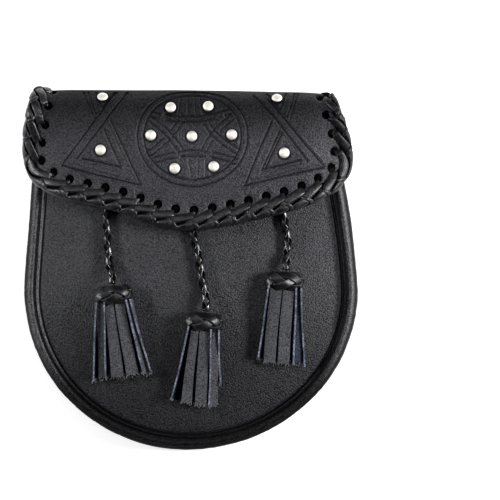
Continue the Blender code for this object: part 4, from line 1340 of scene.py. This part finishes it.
STRIPS = {  # mm across at the knot and at the end, mm wide there, mm long, mm high at the end, roll
    "left": (
        (-9.8, -15.4, 4.2, 4.8, 43.2, 3.0, -101), (-7.6, -10.4, 4.2, 4.4, 43.4, 3.2, -8),
        (-5.4, -7.9, 4.6, 4.8, 42.6, 3.4, -104), (-2.4, -2.0, 4.6, 7.2, 43.4, 4.7, -3),
        (3.0, 6.5, 5.2, 6.9, 42.4, 4.9, 2), (6.7, 12.2, 4.6, 5.2, 41.4, 3.8, 104),
        (8.2, 14.6, 4.2, 4.4, 42.4, 2.6, 22), (9.2, 16.4, 3.4, 4.2, 42.0, 2.0, 100),
        (-6.2, -12.8, 5.0, 5.4, 42.6, 0.9, -4), (0.0, -3.0, 5.6, 6.0, 42.0, 0.9, 0),
        (0.8, 4.0, 5.6, 6.0, 41.5, 1.2, 0), (5.0, 11.0, 5.0, 5.6, 41.5, 0.9, 5),
    ),
    "middle": (
        (-7.8, -12.4, 4.6, 5.0, 42.0, 3.6, -104), (-4.6, -4.5, 4.0, 5.9, 43.2, 4.7, -3),
        (0.7, 3.9, 5.5, 6.6, 43.6, 4.9, 2), (4.6, 8.0, 4.4, 4.8, 43.0, 3.6, 101),
        (7.0, 10.8, 4.0, 5.0, 43.0, 3.4, 16), (8.8, 12.8, 3.8, 4.4, 30.0, 2.2, 100),
        (-6.0, -9.4, 4.4, 5.4, 42.0, 0.9, -4), (-1.5, -1.0, 5.0, 6.0, 42.4, 0.9, 0),
        (3.0, 3.6, 5.0, 6.0, 42.4, 1.2, 0), (6.2, 9.0, 4.8, 5.6, 42.0, 0.9, 5),
    ),
    "right": (
        (-8.6, -11.6, 4.6, 5.0, 41.6, 3.6, -104), (-4.8, -5.6, 6.4, 6.6, 43.2, 4.7, -3),
        (2.3, 2.2, 6.3, 6.6, 43.6, 5.0, 2), (6.4, 7.8, 4.4, 4.8, 42.6, 3.6, 101),
        (7.4, 10.2, 4.6, 5.4, 43.0, 3.3, 196), (9.2, 13.6, 4.2, 4.8, 42.6, 2.6, 102),
        (-6.6, -8.8, 4.6, 5.4, 42.0, 0.9, -4), (-1.6, -2.0, 5.0, 6.0, 42.4, 0.9, 0),
        (3.0, 3.2, 5.0, 6.0, 42.4, 1.2, 0), (6.6, 9.4, 4.8, 5.6, 42.0, 0.9, 5),
    ),
}
STRIP_THICKNESS = 0.00092
STRIP_SEEDS = {"left": 3, "middle": 5, "right": 8}
STRIP_COLUMNS = 9
LOW_END = 1.5  # mm, strips that end lower lie under the others and are painted dark, as shade
TURNED_OVER = 150  # degrees of roll from which a strip shows its back
STRIP_TOPS = (-1.6, 1.6)  # mm, where low and high strips leave the knot, from its middle
STRIP_START = 0.003  # inside the knot
STRIP_SWAY = 0.20  # mm
STRIP_GAP = 0.00015
FRAY = 0.00050
FIBRES = 15  # at each strip's end
FIBRE_LENGTHS = (0.0006, 0.0016)
FIBRE_SIZE = (0.00034, 0.00028)
FIBRE_TAPER = (1.0, 0.8, 0.3)
FIBRE_ROOT = 0.0004
FIBRE_GAP = 0.0002


def strip_section(thickness, columns):
    """A slab's outline of unit width: its top, a cut edge, its back and the other cut edge."""
    across = np.linspace(-0.5, 0.5, columns + 1)
    outline_points = np.concatenate([points_of(across[::-1], thickness / 2),
                                     points_of(across, -thickness / 2)])
    return outline_points, [0] * columns + [1] + [3] * columns + [1]


def make_strips(tassel):
    """Flat strips that fan out from the knot and lie on the front, with frayed ends."""
    rng = np.random.default_rng(STRIP_SEEDS[tassel[0]])
    skins = Skins()
    side, ahead = tassel_axes(tassel)
    section, slots = strip_section(STRIP_THICKNESS, STRIP_COLUMNS)
    t = np.linspace(0, 1, 30)
    for start, end, first_width, last_width, length, end_height, roll in STRIPS[tassel[0]]:
        across = (start + (end - start) * t + STRIP_SWAY * np.sin(t * 5 + start)) * MM
        top = KNOT_RISE + STRIP_TOPS[end_height > LOW_END] * MM
        height = top + (end_height * MM - top) * smoothstep(t * 1.2)
        along = KNOT_HALF_HEIGHT - STRIP_START + t * length * MM
        path = tassel_point(tassel, across, along, height)
        turn = np.radians(roll) * (0.9 + 0.1 * t)
        ups = turned(UP, side, turn)
        widths = (first_width + (last_width - first_width) * t) * MM
        low = abs(np.sin(turn)) * widths / 2 + abs(np.cos(turn)) * STRIP_THICKNESS / 2
        ground = front_height(path[:, 0], path[:, 1])
        path[:, 2] = np.maximum(path[:, 2], ground + low + STRIP_GAP)
        shown = slots
        # low strips get the painted shade material all over
        if end_height < LOW_END:
            shown = 3
        elif roll > TURNED_OVER:
            shown = [4 if slot == 3 else slot for slot in slots]
        skins.sweep(path, ups, section, widths, slots=shown)
        # frayed end: every lengthwise column of the last ring ends at its own length
        block = skins.points[-1].reshape(len(t), len(section), 3)
        ragged = rng.normal(0, FRAY, STRIP_COLUMNS + 1)
        ragged = np.concatenate([ragged[::-1], ragged])
        block[-1] += unit(block[-1].mean(0) - block[-2].mean(0)) * ragged[:, None]
        for _ in range(FIBRES):
            place = block[-1][rng.integers(0, len(section))]
            direction = unit(ahead + side * rng.normal(0, 0.6) + UP * rng.normal(0.1, 0.3))
            reach = rng.uniform(*FIBRE_LENGTHS)
            fibre = place + direction * np.array([-FIBRE_ROOT, 0.4 * reach, reach])[:, None]
            ground = front_height(fibre[1:, 0], fibre[1:, 1])
            fibre[1:, 2] = np.maximum(fibre[1:, 2], ground + FIBRE_GAP)
            skins.sweep(fibre, UP, oval_section(*FIBRE_SIZE, 5, 1.0), FIBRE_TAPER, slots=2)
    return skins.piece(f"tassel_strip_bundle_{tassel[0]}",
                       (STRIP_FACE, STRIP_CUT, STRIP_FIBRE, STRIP_SHADE, STRIP_BACK),
                       "strip_leather", (f"tassel_strips_{tassel[0]}",), sharp=42)


TAB_ROUNDING = 0.14  # as a share of its size


def make_anchor(tassel):
    """The folded tab under the flap that holds the cord."""
    name = tassel[0]
    form = bmesh.new()
    bmesh.ops.create_cube(form, size=1.0)
    bmesh.ops.bevel(form, geom=list(form.edges), offset=TAB_ROUNDING, segments=4,
                    affect="EDGES", profile=0.5)
    corners = np.array([vertex.co for vertex in form.verts])
    faces = [[vertex.index for vertex in face.verts] for face in form.faces]
    form.free()
    x, y, height = ((corners + (0.0, 0.5, 0.5)) * ANCHOR_SIZE).T
    start_x, start_y = CORD_ROUTES[name][0]
    points = laid(start_x + x, start_y + 2 * GAP + y, GAP + height)
    new_piece(f"cord_tab_{name}", points, faces, (PANEL_LEATHER,),
              (f"cord_anchor_{name}",))


# -------- belt loops
STITCH_BOXES = ((0.0338, 0.0388), (0.0772, 0.0822))  # lower and upper y of each
STITCH_INSET = 0.0022
STITCH_LENGTH = 0.0030
STITCH_DIP = 0.00018
STITCH_RISE = 0.00010  # of the thread's ends over the leather
STITCH_SPAN = (0.04, 0.92)  # its start and length, as shares of its place in the seam
THREAD_SIZE, THREAD_SINK = (0.00055, 0.00045), 0.00022
LOOP_THINNING, LOOP_THINNING_WIDTH = 0.22, 0.0006  # at a loop's long edges


def make_belt_loops():
    """Loops sewn to the back, with a box of stitches at both ends."""
    line = smooth_line(LOOP_SECTION, 10)
    line[:, 1] = np.clip(line[:, 1], LOOP_LOW, LOOP_HIGH)
    across = np.linspace(-0.5, 0.5, 17) * LOOP_WIDTH
    thin = LOOP_THINNING * bell(0.5 * LOOP_WIDTH - abs(across), LOOP_THINNING_WIDTH)
    wall = LOOP_THICKNESS / 2 * (1 - thin)[:, None]
    half = LOOP_WIDTH / 2 - STITCH_INSET
    t = np.linspace(0, 1, 5)
    thread = oval_section(*THREAD_SIZE, 6, 1.0) - (0, THREAD_SINK)
    sewn_z = LOOP_HIGH - LOOP_THICKNESS / 2 + STITCH_RISE - STITCH_DIP * np.sin(t * math.pi)
    for name, centre_x in (("left", -LOOP_X), ("right", LOOP_X)):
        middle = points_of(centre_x + across, line[:, :1], line[:, 1:])
        normals = grid_normals(middle)
        normals = np.where(normals[..., 2:] > 0, -normals, normals)
        points, faces, _ = shell(middle + normals * wall, middle - normals * wall)
        new_piece(f"belt_loop_leather_{name}", points, faces, (GUSSET_LEATHER,),
                  (f"belt_loop_{name}",), sharp=60)
        skins = Skins()
        for low_y, high_y in STITCH_BOXES:
            box = np.array(((-half, low_y), (half, low_y), (half, high_y), (-half, high_y),
                            (-half, low_y)))
            seam = resampled(box, 1 + 2 * round(lengths_along(box)[-1] / STITCH_LENGTH))
            for start, stop in zip(seam[:-1:2], seam[1::2]):
                place = STITCH_SPAN[0] + STITCH_SPAN[1] * t[:, None]
                x, y = (start + (stop - start) * place).T
                skins.sweep(points_of(centre_x + x, y, sewn_z), UP, thread)
        skins.piece(f"belt_loop_stitches_{name}", (THREAD,), "lace_leather")


# -------- stage
FLOOR_REACH = 3.0
FLOOR_Z = -0.00004


def make_stage():
    """The camera, a pale floor that glows and soft lights."""
    camera_data = bpy.data.cameras.new("camera")
    camera_data.sensor_width = SENSOR_MM
    camera_data.lens = SENSOR_MM * CAMERA_PLACE[2] / VIEW_WIDTH
    camera_data.clip_end = 20
    camera = new_object("camera", camera_data)
    camera.location = CAMERA_PLACE
    bpy.context.scene.camera = camera

    floor_mesh = bpy.data.meshes.new("floor")
    floor_mesh.from_pydata([(x * FLOOR_REACH, y * FLOOR_REACH, FLOOR_Z)
                            for x, y in ((-1, -1), (1, -1), (1, 1), (-1, 1))], [], [(0, 1, 2, 3)])
    nodes = Nodes("floor_white")
    nodes.set(Base_Color=(0.93, 0.93, 0.93), Roughness=0.9, Specular_IOR_Level=0.1,
              Emission_Color=(1.0, 1.0, 1.0), Emission_Strength=FLOOR_GLOW)
    floor_mesh.materials.append(nodes.material)
    floor = new_object("floor", floor_mesh)

    world = bpy.data.worlds.new("studio")
    world.use_nodes = True
    background = world.node_tree.nodes["Background"]
    background.inputs["Color"].default_value = (1.0, 1.0, 1.0, 1.0)
    background.inputs["Strength"].default_value = SURROUND
    bpy.context.scene.world = world

    for name, direction, size, power in LIGHTS:
        place = Vector(direction).normalized() * LIGHT_DISTANCE
        data = bpy.data.lights.new(name, "AREA")
        data.shape = "SQUARE"
        data.size = size
        data.energy = power
        light = new_object(name, data)
        light.location = place
        light.rotation_euler = (-place).to_track_quat("-Z", "Y").to_euler()
    bpy.context.scene.view_settings.view_transform = "Standard"


# -------- the pouch
make_stage()
for tassel in TASSELS:
    name = tassel[0]
    braid, path = make_cord(tassel)
    knot = make_knot(tassel)
    bundle = make_strips(tassel)
    make_anchor(tassel)
make_sheet()
make_front_panel()
make_gusset()
make_piping()
make_edge_lacing()
make_studs()
make_belt_loops()
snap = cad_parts["flap_snap"]
snap.data.materials.clear()
snap.data.materials.append(NICKEL)
